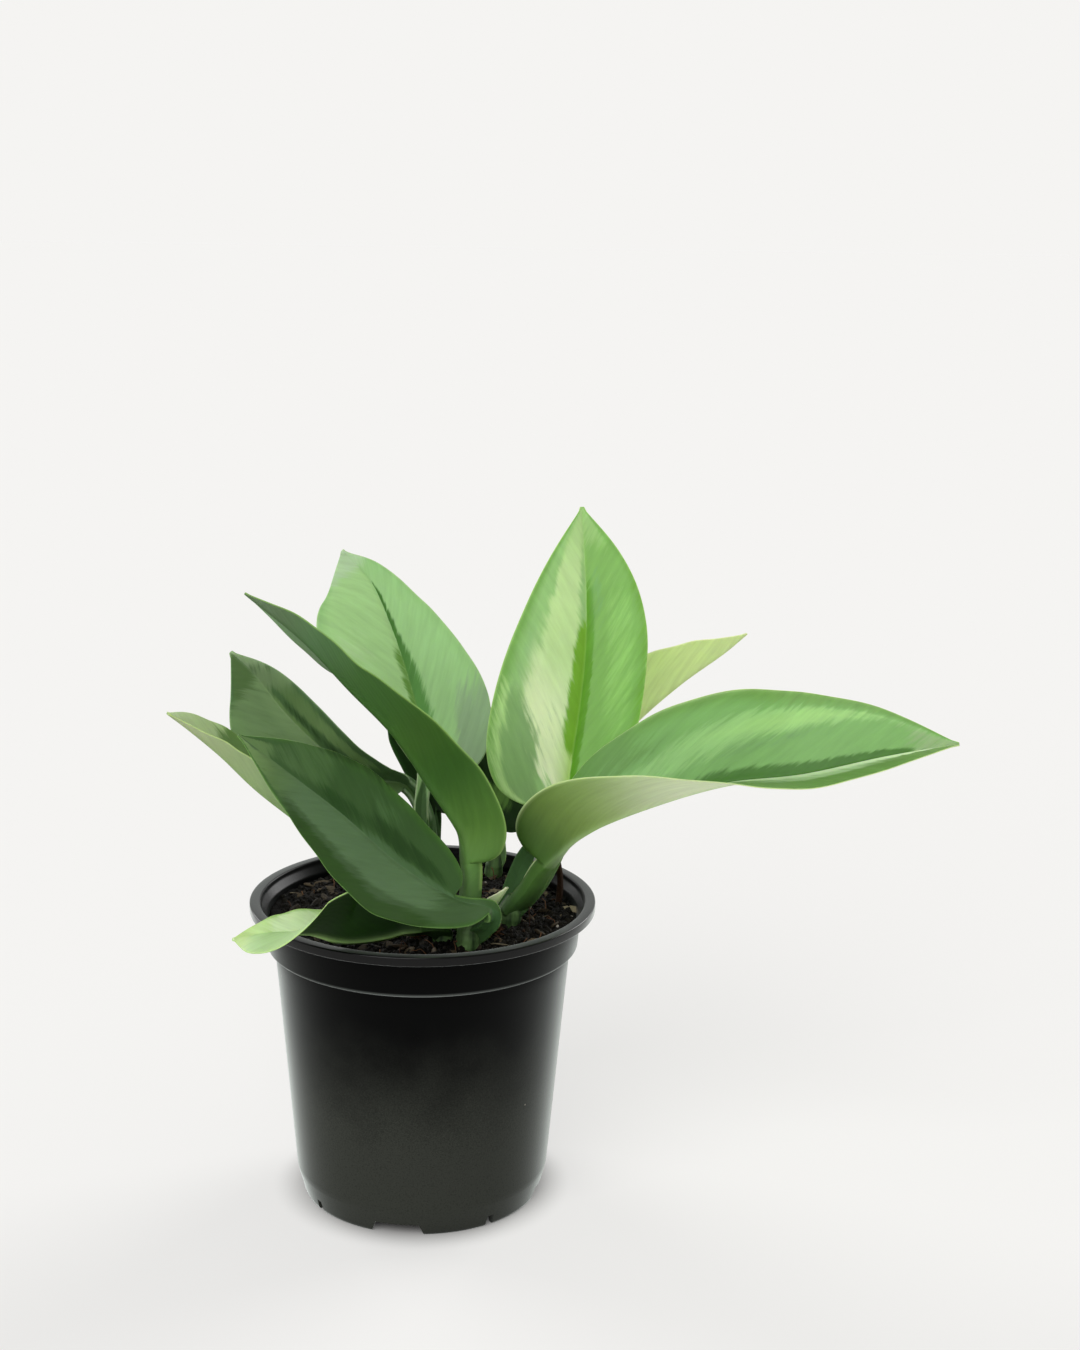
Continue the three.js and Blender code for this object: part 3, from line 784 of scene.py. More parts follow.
        rings = np.concatenate([upper, rims[:, -1:], lower[:, ::-1], rims[:, :1]], axis=1)
        mesh = lofted(self.name, rings)
        self.colour(mesh, paint, q, t, width)
        self.map_veins(mesh, rings.shape[:2], q, (u - line.share_of(self.neck)) * line.length, away)
        return mesh

    def colour(self, mesh: Mesh, paint: Paint, q: np.ndarray, t: np.ndarray, width: np.ndarray) -> None:
        """Paints the leaf's colours on its points.

        Args:
            mesh: the leaf's mesh.
            paint: its colours.
            q: the shares of the half width across a face, negative on the left.
            t: the rings' shares of the length.
            width: the half width at each point of a face.
        """
        rows, count = len(t), len(q)
        side = np.where(q > 0, 1.0, -1.0)[None, :] * np.ones((rows, 1))
        share = np.abs(q)[None, :] * np.ones((rows, 1))
        row = t[:, None] * np.ones((1, count))

        def mix(a: np.ndarray, b: np.ndarray, amount: np.ndarray) -> np.ndarray:
            """Blends two fields of colour."""
            return a + (b - a) * amount[..., None]

        edge, rib, margin = (np.array(linear(c)) for c in (paint.edge, paint.rib, paint.margin))
        left, right = (np.array(linear(c)) for c in paint.ground)
        face = np.where(side[..., None] > 0, right, left)
        face = mix(face, margin, smooth(*paint.MARGIN, share) * 0.9)
        reach = share * width
        seam, keel = (np.exp(-((reach / broad) ** 2)) * deep for broad, deep in (paint.SEAM, paint.KEEL))
        face = mix(face, rib, seam * smooth(0.02, 0.12, row))
        stems = [np.array(linear(c)) for c in paint.petiole]
        stalk = mix(stems[0] * np.ones_like(face), stems[1], np.clip(row + 1, 0, 1))
        face = mix(stalk, face, smooth(-0.02, 0.06, row + 0.25 * share))
        unders = (paint.under, paint.under_right or paint.under)
        lefts, rights = (read_steps(np.array([linear(c) for c in under]), t)[:, None] for under in unders)
        below = mix(lefts * np.ones((1, count, 1)), rights, smooth(-0.04, 0.04, side * share))
        below = mix(below, rib, keel)
        below = mix(stalk, below, smooth(-0.05, 0.1, row))
        glow = smooth(*paint.RIM, share) * paint.GLOW * (row > -0.4)
        face, below = mix(face, edge, glow * 0.5), mix(below, edge, glow)
        rim = mix(below, edge, paint.GLOW * (row > -0.4))
        layers = {"ground": np.concatenate([face, rim[:, -1:], below[:, ::-1], rim[:, :1]], axis=1)}
        for layer in Layer:
            total, colour = np.zeros((rows, count)), np.zeros((rows, count, 4))
            clear = np.ones((rows, count))
            for stroke in (one for one in paint.strokes if one.layer is layer):
                weight = stroke.weight(side, share, row) * (row > 0)
                colour += weight[..., None] * np.array(linear(stroke.colour))
                total += weight
                clear *= 1 - np.clip(weight, 0, 1)
            tint = colour / np.maximum(total, 1e-6)[..., None]
            tint[..., 3] = 1 - clear
            bare = np.zeros((rows, count + 2, 4))
            layers[layer.value] = np.concatenate([tint, bare], axis=1)
        for name, values in layers.items():
            ends = np.stack([values[0].mean(axis=0), values[-1].mean(axis=0)])
            attribute = mesh.color_attributes.new(name, "FLOAT_COLOR", "POINT")
            attribute.data.foreach_set("color", np.vstack([values.reshape(-1, 4), ends]).ravel())

    def map_veins(
        self, mesh: Mesh, shape: tuple[int, int], q: np.ndarray, reach: np.ndarray, away: np.ndarray
    ) -> None:
        """Lays a map in millimetres whose second axis runs along the side veins.

        Args:
            mesh: the leaf's mesh.
            shape: its number of rings and of points on each.
            q: the shares of the half width across a face, negative on the left.
            reach: how far along the rib each ring stands from the blade's base.
            away: how far each point of a face lies from the rib.
        """
        rows, size = shape
        across = np.concatenate([away, away[:, -1:], away[:, ::-1], away[:, :1]], axis=1)
        along = reach[:, None] * np.ones((1, size))
        norm = math.hypot(self.vein_slope, 1)
        beside, onward = along - self.vein_slope * across, self.vein_slope * along + across
        flat = np.stack([beside / norm, onward / norm], axis=2)
        points = np.vstack([flat.reshape(-1, 2), flat[0].mean(axis=0), flat[-1].mean(axis=0)])
        corners = np.empty(len(mesh.loops), dtype=np.int32)
        mesh.loops.foreach_get("vertex_index", corners)
        starts = np.empty(len(mesh.polygons), dtype=np.int32)
        mesh.polygons.foreach_get("loop_start", starts)
        column = np.arange((rows - 1) * size) % size
        middle = len(q) // 2
        on_right = ((column >= middle) & (column < len(q) + middle + 2)).astype(float)
        shift = np.zeros(len(corners))
        face_of = np.searchsorted(starts, np.arange(len(corners)), side="right") - 1
        inside = face_of < len(column)
        shift[inside] = self.half_apart * on_right[face_of[inside]]
        places = points[corners]
        places[:, 1] += shift
        places[:, 0] += self.leaf_apart * (len(self.name) + self.half[0])
        mesh.uv_layers.new(name="veins").data.foreach_set("uv", places.ravel())

    def dress(self, paint: Paint, upper: Material, lower: Material) -> None:
        """Builds the leaf as a piece and puts it in its solid's place.

        Args:
            paint: its colours.
            upper: the finish of the upper face.
            lower: the finish of the lower face and the petiole.
        """
        mesh = self.build(paint)
        count = 2 * len(self.SHARES) - 1
        size = 2 * count + 2
        rows = self.blade_rows + self.petiole_rows
        slots = np.ones(len(mesh.polygons), dtype=np.int32)
        column = np.arange((rows - 1) * size) % size
        ring = np.arange((rows - 1) * size) // size
        slots[: len(column)] = np.where((column < count - 1) & (ring >= self.petiole_rows), 0, 1)
        piece = new_piece(f"{self.name}_skin", mesh, (upper, lower))
        mesh.polygons.foreach_set("material_index", slots)
        settle(piece, (self.node or f"leaf_{self.name}",))


def paints() -> dict[str, Paint]:
    """The colours of each leaf."""
    left, right, both, deep = Half.LEFT, Half.RIGHT, Half.BOTH, Layer.DEEP
    return {
        "upright": Paint(
            ground=("#9AC37E", "#80B25A"),
            margin="#78A852",
            under=("#6F964C", "#7FA35C", "#86AA66"),
            petiole=("#4A7040", "#385A2A"),
            rib="#9CC66A",
            edge="#B2D184",
            strokes=(
                Stroke(left, "#C2DC9E", (0.08, 0.62), (0.14, 0.97), (0.3, 0.12)),
                Stroke(left, "#95BE7E", (0.66, 0.84), (0.38, 0.66), (0.2, 0.2), strength=0.7),
                Stroke(left, "#EAF6C8", (0.1, 0.66), (0.0, 0.2), (0.25, 0.25), slant=0.45),
                Stroke(left, "#FDFFE6", (0.12, 0.26), (-0.12, 0.3), (0.4, 0.2), slant=0.45),
                Stroke(left, "#FDFFE6", (0.36, 0.5), (-0.05, 0.22), (0.4, 0.2), slant=0.45),
                Stroke(left, "#8CAA80", (0.27, 0.34), (0.02, 0.3), (0.4, 0.3), deep, slant=0.45),
                Stroke(
                    left, "#8FAC84", (0.52, 0.58), (-0.02, 0.12), (0.4, 0.3), deep, slant=0.45, strength=0.8
                ),
                Stroke(
                    left, "#8AB070", (0.4, 0.86), (-0.9, 0.06), (0.2, 0.1), deep, slant=0.45, strength=0.9
                ),
                Stroke(left, "#B6D890", (0.8, 0.97), (-0.9, 0.02), (0.3, 0.2), slant=0.45),
                Stroke(left, "#9CC84C", (0.0, 0.16), (0.0, 0.3), (0.2, 0.2)),
                Stroke(left, "#76AC30", (0.0, 0.13), (0.2, 0.62), (0.2, 0.2), deep, strength=1.4),
                Stroke(right, "#94C66C", (0.3, 0.85), (0.25, 0.8), (0.3, 0.3), strength=0.6),
                Stroke(right, "#7CAE66", (0.12, 0.34), (0.6, 0.85), (0.25, 0.25), deep, strength=0.7),
                Stroke(right, "#5F9A24", (0.0, 0.14), (0.08, 0.76), (0.12, 0.16), deep),
                Stroke(right, "#70A43C", (0.88, 1.0), (0.1, 0.86), (0.5, 0.2), deep, strength=0.9),
                Stroke(both, "#9CC478", (0.0, 0.85), (0.86, 1.0), (0.4, 0.16), strength=0.8),
            ),
        ),
        "reaching_right": Paint(
            ground=("#7DAE62", "#769C58"),
            margin="#6C9A48",
            # the underside: its dark base is painted shade, and its pale middle is its own paler green
            # raised with painted light shining through the blade
            under=("#36521F", "#8AA460", "#D0DEB4", "#D6E6B8", "#CEDCAC", "#C4D4A0", "#BCCC94"),
            petiole=("#3F5F30", "#446826"),
            rib="#BEDDA2",
            edge="#C9DCA0",
            strokes=(
                Stroke(left, "#98C67C", (0.15, 0.85), (-0.2, 0.2), (0.3, 0.3), slant=0.9, strength=0.8),
                Stroke(left, "#A8D27C", (0.55, 0.8), (-0.04, 0.12), (0.25, 0.15), slant=0.9, strength=0.9),
                Stroke(left, "#76A264", (0.2, 0.6), (0.1, 0.3), (0.3, 0.2), deep, slant=0.9, strength=0.6),
                Stroke(left, "#94B27C", (0.0, 0.8), (0.88, 1.0), (0.4, 0.12), strength=0.8),
                Stroke(left, "#6C9A4E", (0.5, 1.0), (0.0, 0.34), (0.3, 0.2), deep, strength=0.8),
                Stroke(left, "#78A254", (0.78, 1.0), (0.5, 0.9), (0.3, 0.2), deep, strength=0.6),
                Stroke(left, "#467828", (0.0, 0.13), (0.38, 0.9), (0.2, 0.16), deep, strength=1.2),
                # the pale band beside the midrib on the right half is its own, made paler with painted
                # light
                Stroke(right, "#E0FAC8", (0.0, 0.2), (0.4, 0.94), (0.3, 0.2), strength=1.3),
                Stroke(right, "#A6C890", (0.2, 0.5), (0.5, 0.84), (0.3, 0.2), strength=0.8),
                Stroke(right, "#6A944A", (0.42, 1.0), (0.6, 0.95), (0.2, 0.2), deep, strength=0.8),
            ),
        ),
        "behind_right": Paint(
            ground=("#8DB878", "#8DB878"),
            margin="#8DB878",
            # the underside is its own paler green, raised with painted light shining through the blade
            under=("#C8DE90", "#CFE49A", "#D4E8A0"),
            petiole=("#3F6032", "#6A8A4C"),
            rib="#AFBC8C",
            edge="#E2F0B8",
        ),
        "back_centre": Paint(
            ground=("#A0C686", "#96BF80"),
            margin="#8FB878",
            under=("#6F8F56", "#7FA068", "#86A670"),
            petiole=("#4A6A3C", "#4A6A3C"),
            rib="#86B06C",
            edge="#AFC49A",
            strokes=(
                # painted shade: a darker grey-green over the base of the right half
                Stroke(right, "#8AA67E", (0.5, 1.0), (0.0, 0.28), (0.3, 0.3), strength=0.95),
                Stroke(right, "#A2CC84", (0.3, 0.8), (0.5, 0.8), (0.3, 0.3), strength=0.4),
                Stroke(left, "#AACA92", (0.3, 0.9), (0.4, 0.68), (0.3, 0.3), strength=0.6),
                Stroke(both, "#ABC69C", (0.0, 1.0), (0.88, 1.0), (0.4, 0.14)),
                Stroke(right, "#568C40", (0.0, 0.2), (0.14, 0.48), (0.3, 0.2), deep),
                Stroke(right, "#3F7028", (0.0, 0.12), (0.36, 0.8), (0.25, 0.16), deep, strength=1.2),
                Stroke(left, "#64903F", (0.0, 0.12), (0.16, 0.52), (0.14, 0.2), deep, strength=0.8),
            ),
        ),
        "crossing_left": Paint(
            ground=("#5A8C48", "#5A8C48"),
            margin="#4C8440",
            under=(
                "#557830", "#4E7430", "#3A6024", "#406626", "#446C30",
                "#486E38", "#54784A", "#5E7852", "#667E5C",
            ),
            under_right=("#4E7A2A", "#44702A", "#46702C", "#5C824C", "#6E9A5E"),
            petiole=("#4C6A3A", "#5A8240"),
            rib="#2C4C1A",
            edge="#86A85C",
            strokes=(Stroke(both, "#7CA46C", (0.3, 0.8), (0.2, 0.9), (0.3, 0.3), strength=0.8),),
        ),
        "mid_left": Paint(
            ground=("#64824F", "#56764A"),
            margin="#5C7C52",
            under=("#4A6A3A", "#567648", "#607E54"),
            petiole=("#4A6A3C", "#4A6A3C"),
            rib="#90AC80",
            edge="#8FA880",
            strokes=(
                Stroke(left, "#9AB882", (0.0, 0.14), (0.45, 0.8), (0.2, 0.2), strength=0.9),
                Stroke(left, "#86A272", (0.0, 1.0), (0.3, 0.86), (0.3, 0.15), strength=0.9),
                Stroke(right, "#7C9C62", (0.0, 0.14), (0.46, 0.78), (0.2, 0.2), strength=0.9),
                Stroke(right, "#84A26A", (0.36, 0.8), (0.2, 0.66), (0.25, 0.25), strength=0.9),
                Stroke(right, "#64824F", (0.3, 0.9), (0.6, 0.8), (0.25, 0.2), strength=0.8),
                Stroke(right, "#829A70", (0.0, 1.0), (0.78, 0.88), (0.4, 0.12)),
                Stroke(right, "#A0B88C", (0.0, 1.0), (0.9, 1.0), (0.4, 0.1)),
                Stroke(right, "#35522A", (0.14, 0.32), (0.26, 0.74), (0.3, 0.25), deep, strength=0.9),
                Stroke(right, "#4A6A3C", (0.0, 1.0), (0.0, 0.14), (0.3, 0.2), deep, strength=0.6),
            ),
        ),
        "front_left": Paint(
            ground=("#446038", "#3A5A2C"),
            margin="#3E6428",
            under=("#4A6A3A", "#5A7A48", "#5A7A48"),
            petiole=("#3F5F32", "#3F6638"),
            rib="#42603A",
            edge="#6F9452",
            strokes=(
                Stroke(left, "#5A7850", (0.0, 0.62), (0.16, 0.8), (0.3, 0.2)),
                Stroke(left, "#567440", (0.0, 0.9), (0.78, 0.95), (0.3, 0.14), strength=0.9),
                Stroke(left, "#77965A", (0.2, 0.9), (0.88, 1.0), (0.3, 0.1), strength=0.8),
                Stroke(right, "#4A6A40", (0.0, 0.14), (0.02, 0.5), (0.2, 0.2)),
                Stroke(right, "#4E7040", (0.36, 0.85), (0.36, 0.56), (0.35, 0.3), strength=0.6),
                Stroke(right, "#4C6C3C", (0.1, 1.0), (0.66, 0.86), (0.3, 0.16), strength=0.8),
                Stroke(right, "#5E7C48", (0.0, 0.7), (0.88, 1.0), (0.4, 0.12)),
                Stroke(left, "#2E4E1A", (0.7, 1.0), (0.16, 0.78), (0.3, 0.2), deep),
                Stroke(left, "#2E4E1A", (0.6, 0.8), (0.84, 0.94), (0.4, 0.3), deep, strength=0.8),
                Stroke(right, "#26461A", (0.14, 0.5), (0.16, 0.5), (0.25, 0.2), deep, strength=0.9),
                Stroke(right, "#284A1C", (0.0, 0.3), (0.5, 0.72), (0.25, 0.2), deep, strength=0.8),
                Stroke(right, "#2E4A20", (0.84, 1.0), (0.48, 0.78), (0.3, 0.2), deep, strength=0.8),
            ),
        ),
        "far_left": Paint(
            ground=("#5A7C42", "#7A9A5C"),
            margin="#7FA058",
            # the underside is its own paler green, raised with painted light shining through the blade
            under=("#75905A", "#8AA470", "#98AE78", "#AAB787"),
            petiole=("#4A6A3C", "#5A7A44"),
            rib="#8AA46C",
            strokes=(Stroke(both, "#C4D8A0", (0.0, 1.0), (0.7, 1.0), (0.2, 0.2)),),
        ),
        "over_rim": Paint(
            ground=("#A6C888", "#BCD994"),
            margin="#A9CA80",
            # painted shadow of the front left leaf on the underside: near black at the base, lightening
            # towards the tip
            under=("#0C2800", "#102E00", "#1C3A04", "#5F9044"),
            petiole=("#2F4C22", "#2C4A1C"),
            rib="#A4CB7C",
            edge="#B4D68A",
            strokes=(
                Stroke(right, "#D6ECBC", (0.0, 0.95), (0.5, 0.8), (0.3, 0.2), strength=0.9),
                Stroke(both, "#B6D088", (0.0, 1.0), (0.86, 1.0), (0.3, 0.15), strength=0.7),
            ),
        ),
        "shaded_left": Paint(
            # its near-black green is painted shade
            ground=("#16300C", "#16300C"),
            margin="#22401A",
            under=("#3F5F32", "#3F5F32"),
            petiole=("#55754A", "#55754A"),
            edge="#3F6032",
            rib="#22401A",
            strokes=(Stroke(both, "#2C4A22", (0.3, 0.7), (0.3, 0.9), (0.3, 0.3), strength=0.7),),
        ),
        "shaded_centre": Paint(
            # its near-black green is painted shade
            ground=("#1C3810", "#1C3810"),
            margin="#24401C",
            under=("#3F5F32", "#3F5F32"),
            petiole=("#6A8A58", "#6A8A58"),
            edge="#4A6A3A",
            rib="#2C4A24",
            strokes=(
                Stroke(both, "#2F4F26", (0.3, 0.7), (0.4, 0.9), (0.3, 0.3), strength=0.7),
                Stroke(both, "#6F9848", (0.0, 0.5), (0.12, 0.34), (0.3, 0.16), strength=0.8),
            ),
        ),
        "pointed_sheath": Paint(
            ground=("#8DA56A", "#8DA56A"),
            margin="#A9B886",
            under=("#6F8A54", "#92A478", "#B8BC9C"),
            petiole=("#4F6F3A", "#5F7F48"),
            edge="#D0D2B4",
        ),
    }


def leaves() -> list[Blade]:
    """The leaves, with the same values as their solids."""
    return [
        Blade(
            name="upright",
            rib=[
                [29, -11, 106], [32, -7, 116], [36, -3, 124], [42, 0, 129], [47.5, 3, 136],
                [51.7, 9, 157], [56, 18, 195], [54.5, 29, 240],
            ],
            neck=4,
            face=[[-0.1, -0.95, 0.3], [0, -1, 0.2], [0, -0.95, 0.25]],
            half=(31, 22.8),
            widest=(0.26, 0.5),
            taper=(2.1, 2.2),
            blunt=(2.3, 2.8),
            left=[(12, 5), (12, 0), (10, 0)],
            right=[(18, 5), (22, 5), (15, 0)],
            petiole=(3.2, 1.7),
            slot="leaf_light",
        ),
        Blade(
            name="reaching_right",
            rib=[
                [30, -12, 106], [36, -15, 115], [42, -16, 125], [57, -17, 137], [77, -17, 146],
                [102, -18, 154], [127, -21, 158], [154, -27, 166], [177, -33, 172],
            ],
            neck=2,
            face=[[0, 0.35, 1], [0, -0.2, 1], [0, -0.5, 0.87], [0, -0.5, 0.85], [0, -0.5, 0.85]],
            half=(30.5, 28),
            widest=(0.5, 0.36),
            taper=(2.1, 1.6),
            blunt=(1.7, 2.8),
            left=[(60, 5), (40, 5), (15, 5)],
            right=[(60, 12), (40, 5), (15, 0)],
            petiole=(3, 3),
        ),
        Blade(
            name="behind_right",
            rib=[
                [31, -11, 105], [39, -5, 112], [46, 4, 122], [52, 15, 135], [61, 28, 148],
                [77, 38, 162], [93, 45, 174], [109, 51, 184], [117, 54, 190],
            ],
            neck=3,
            face=[[-0.6, 0.2, 0.75]] * 3,
            half=(20, 24.5),
            widest=(0.45, 0.45),
            taper=(2, 2),
            left=[(45, 5), (45, 5), (30, 0)],
            petiole=(2.2, 2),
            slot="leaf_light",
        ),
        Blade(
            name="back_centre",
            rib=[
                [2, 15, 106], [-1, 15, 133], [0, 20, 146], [-2, 32, 162], [-6, 45, 174],
                [-13, 62, 190], [-21, 77, 204], [-32, 90, 213],
            ],
            neck=2,
            face=[[-0.2, -0.75, 0.65]] * 3,
            half=(26.5, 27),
            widest=(0.6, 0.2),
            taper=(2.2, 1.3),
            blunt=(1.3, 2.8),
            left=[(30, 0), (15, 0), (5, 0)],
            right=[(12, 0), (15, 0), (40, 0)],
            petiole=(2.2, 2),
            slot="leaf_light",
        ),
        Blade(
            name="crossing_left",
            rib=[
                [15, -33, 106], [17, -30, 119], [17, -27, 129], [13, -26, 139], [3, -24, 154],
                [-9, -20, 171], [-24, -14, 185], [-40, -7, 200], [-60, 2, 214],
            ],
            neck=2,
            face=[[0.78, 0.41, 0.46], [0.79, 0.3, 0.53], [0.78, 0.41, 0.46]],
            half=(25, 25),
            widest=(0.36, 0.36),
            blunt=(2.2, 2.8),
            taper=(1.8, 1.9),
            left=[(42, 0), (15, 0), (7, 0)],
            right=[(42, 0), (40, 0), (28, 0), (5, 0), (5, 0)],
            petiole=(3, 3),
        ),
        Blade(
            name="mid_left",
            rib=[
                [2, 16, 106], [0, 27, 129], [-6, 28, 139], [-18, 23, 143], [-33, 15, 154],
                [-48, 8, 171], [-58, 3, 186], [-65, -1, 194],
            ],
            neck=2,
            face=[[0.3, -0.8, 0.4], [0.38, -0.93, 0], [0.38, -0.93, 0]],
            half=(25, 20),
            widest=(0.55, 0.5),
            taper=(2.2, 2),
            blunt=(1.2, 1.4),
            left=[(25, 5), (25, 5), (15, 0)],
            right=[(64, 15), (60, 12), (50, 0)],
            petiole=(2.2, 2),
        ),
        Blade(
            name="front_left",
            rib=[
                [17, -36, 105], [21, -39, 109], [24, -41, 113.5], [23, -42, 117.5],
                [14, -42.5, 120], [6, -43.5, 124.2], [-7, -46, 134], [-26, -51, 153],
                [-43, -56, 168.5], [-57, -60, 181],
            ],
            neck=3,
            face=[[0.58, -0.65, 0.5]] * 3,
            half=(22.5, 20),
            start=(0, 0.125),
            widest=(0.36, 0.5),
            taper=(1.75, 1.6),
            blunt=(1.3, 2.5),
            left=[(8, 4), (3, 0), (0, 0)],
            petiole=(3, 2.6),
        ),
        Blade(
            name="far_left",
            rib=[
                [7, -29, 105], [-9, -26, 122], [-28, -22, 132], [-44, -22, 144], [-55, -25, 154],
                [-66, -28, 166], [-76, -32, 176], [-82, -36, 182],
            ],
            neck=2,
            face=[[0.6, 0.2, 0.75], [0.68, 0.06, 0.73], [0.65, 0, 0.75]],
            half=(17, 14.5),
            widest=(0.5, 0.5),
            taper=(2.4, 2.4),
            left=[(35, 0), (35, 0), (25, 0)],
            right=[(30, 0), (30, 0), (15, 0)],
            petiole=(2.2, 2),
            slot="leaf_light",
        ),
        Blade(
            name="over_rim",
            rib=[
                [7, -30, 105], [4, -38, 110], [-2, -42, 111], [-12, -46, 109], [-25, -50, 109],
                [-36, -53, 113], [-48, -55, 114], [-61, -53, 111],
            ],
            neck=2,
            face=[[0, 0.3, 0.95], [0, 0.05, 1], [-0.2, -0.3, 0.93]],
            half=(24.5, 14),
            widest=(0.55, 0.45),
            taper=(1.8, 1.6),
            blunt=(1.6, 2.8),
            left=[(64, 0), (68, 0), (60, 0), (12, 0), (0, 0)],
            right=[(35, 5), (20, 5), (10, 0)],
            petiole=(2.2, 2.2),
            slot="leaf_light",
        ),
        Blade(
            name="shaded_left",
            rib=[
                [3, 16, 105], [4, 29, 121], [4, 34, 128], [2, 38, 138], [-1, 47, 153],
                [-4, 56, 167], [-7, 64, 181],
            ],
            neck=2,
            face=[[0, -0.75, 0.65]] * 3,
            half=(12.5, 15),
            blunt=(1.3, 2.8),
            widest=(0.45, 0.45),
            taper=(2, 2),
            left=[(10, 0), (10, 0), (5, 0)],
            petiole=(1.6, 1.5),
        ),
        Blade(
            name="shaded_centre",
            rib=[
                [25, 40, 104], [27, 40, 108], [26, 41, 119], [24, 45, 135], [20, 54, 151],
                [16, 63, 164],
            ],
            neck=2,
            face=[[0, -0.75, 0.65]] * 3,
            half=(15, 15),
            widest=(0.45, 0.45),
            taper=(2, 2),
            left=[(10, 0), (10, 0), (5, 0)],
            petiole=(2.2, 2.4),
        ),
        Blade(
            name="pointed_sheath",
            node="sheath",
            slot="stem",
            rib=[[16, -34, 106], [21, -32, 111], [24, -34, 117], [28, -36, 123]],
            neck=1,
            face=[[-0.6, 0.7, 0.4]] * 3,
            half=(3.2, 3.2),
            widest=(0.2, 0.2),
            taper=(1.5, 1.5),
            left=[(30, 20), (30, 20), (20, 0)],
            petiole=(2, 2),
            wave=0.15,
            ripple=0.05,
            blade_rows=36,
            petiole_rows=8,
        ),
    ]


# Stems and what is left of old growth


@dataclass
class Stems:
    """The short stems, swollen at their nodes and rounded off at the top."""

    axes: dict[str, tuple[Sequence[Point], float]] = field(
        default_factory=lambda: {
            "front": ([[15, -35, 84], [15.5, -34.5, 101], [16, -34, 113]], 4),
            "left": ([[7, -29, 84], [7, -29, 101], [6, -29, 110]], 3.3),
            "right": ([[28, -11, 84], [29, -12, 101], [31, -12, 112]], 4.2),
            "middle": ([[3, 14, 84], [2, 15, 101], [1, 17, 114]], 3.6),
            "back": ([[22, 36, 84], [25, 40, 101], [26, 40, 111]], 3.2),
        }
    )
    swell: tuple[float, ...] = (1, 1, 1.1, 1, 0.96, 1.08, 0.86, 0.45)
    sides: int = 28
    rows: int = 42
    scars: Pair = (0.62, 0.8)  # shares of the length where old leaves sat
    scar_height: float = 0.28
    scar_width: float = 0.018

    def dress(self, skin: Material) -> None:
        """Builds the stems as pieces.

        Args:
            skin: their finish.
        """
        shares = np.linspace(0, 1, self.rows)
        steps = np.linspace(0, 1, len(self.swell))
        for name, (axis, radius) in self.axes.items():
            radii = radius * np.interp(shares, steps, self.swell)
            for scar in self.scars:
                radii += self.scar_height * np.exp(-(((shares - scar) / self.scar_width) ** 2))
            piece = new_piece(f"stem_{name}_skin", lofted(name, tube(axis, radii, self.sides)), (skin,))
            settle(piece, (f"stem_{name}",))


@dataclass
class OldGrowth:
    """A withered stalk and the cut end of an old vine."""

    stalk: Sequence[Point] = ((45, 9, 93), (47.5, 9, 101), (48, 10, 112), (46, 12, 122))
    stalk_radii: tuple[float, ...] = (1.4, 1.3, 1.2, 1.1, 1, 0.7)
    stalk_rows: int = 60
    stalk_sides: int = 18
    flutes: int = 5
    flute_depth: float = 0.12  # of the radius
    shrunk: float = 0.92
    vine: Sequence[Point] = ((34, 2, 95), (34, -1, 99), (33.5, -5, 102.5))
    vine_radius: float = 1.75
    vine_rows: int = 12
    vine_sides: int = 32
    year_rings: int = 3
    year_ring_depth: float = 0.16

    def dress_stalk(self, dry: Material) -> None:
        """Builds the withered stalk, with twisting flutes, as a piece.

        Args:
            dry: its finish.
        """
        shares = np.linspace(0, 1, self.stalk_rows)
        radii = np.interp(shares, np.linspace(0, 1, len(self.stalk_radii)), self.stalk_radii)
        rings = tube(self.stalk, radii, self.stalk_sides)
        wave = np.sin(self.flutes * around(self.stalk_sides)[None, :] + 3 * shares[:, None])
        fluted = 1 + self.flute_depth * wave * (shares[:, None] > 0.1)
        centre = rings.mean(axis=1, keepdims=True)
        rings = centre + (rings - centre) * fluted[..., None] * self.shrunk
        settle(new_piece("withered_stalk", lofted("stalk", rings), (dry,)), ("dry_stalk",))

    def dress_vine(self, pale: Material) -> None:
        """Builds the vine's end, whose cut face has year rings, as a piece.

        Args:
            pale: its finish.
        """
        body = tube(self.vine, np.full(self.vine_rows, self.vine_radius), self.vine_sides)
        middle, before = body[-1].mean(axis=0), body[-2].mean(axis=0)
        inward = (before - middle) / np.linalg.norm(before - middle)
        face = []
        for share in np.linspace(1, 0.12, self.vine_rows)[1:]:
            depth = self.year_ring_depth * (1 - math.cos(2 * math.pi * self.year_rings * share))
            face.append(middle + (body[-1] - middle) * share + inward * depth)
        rings = np.concatenate([body, np.array(face)])
        settle(new_piece("cut_vine_end", lofted("vine", rings), (pale,)), ("cut_vine",))


# Potting mix


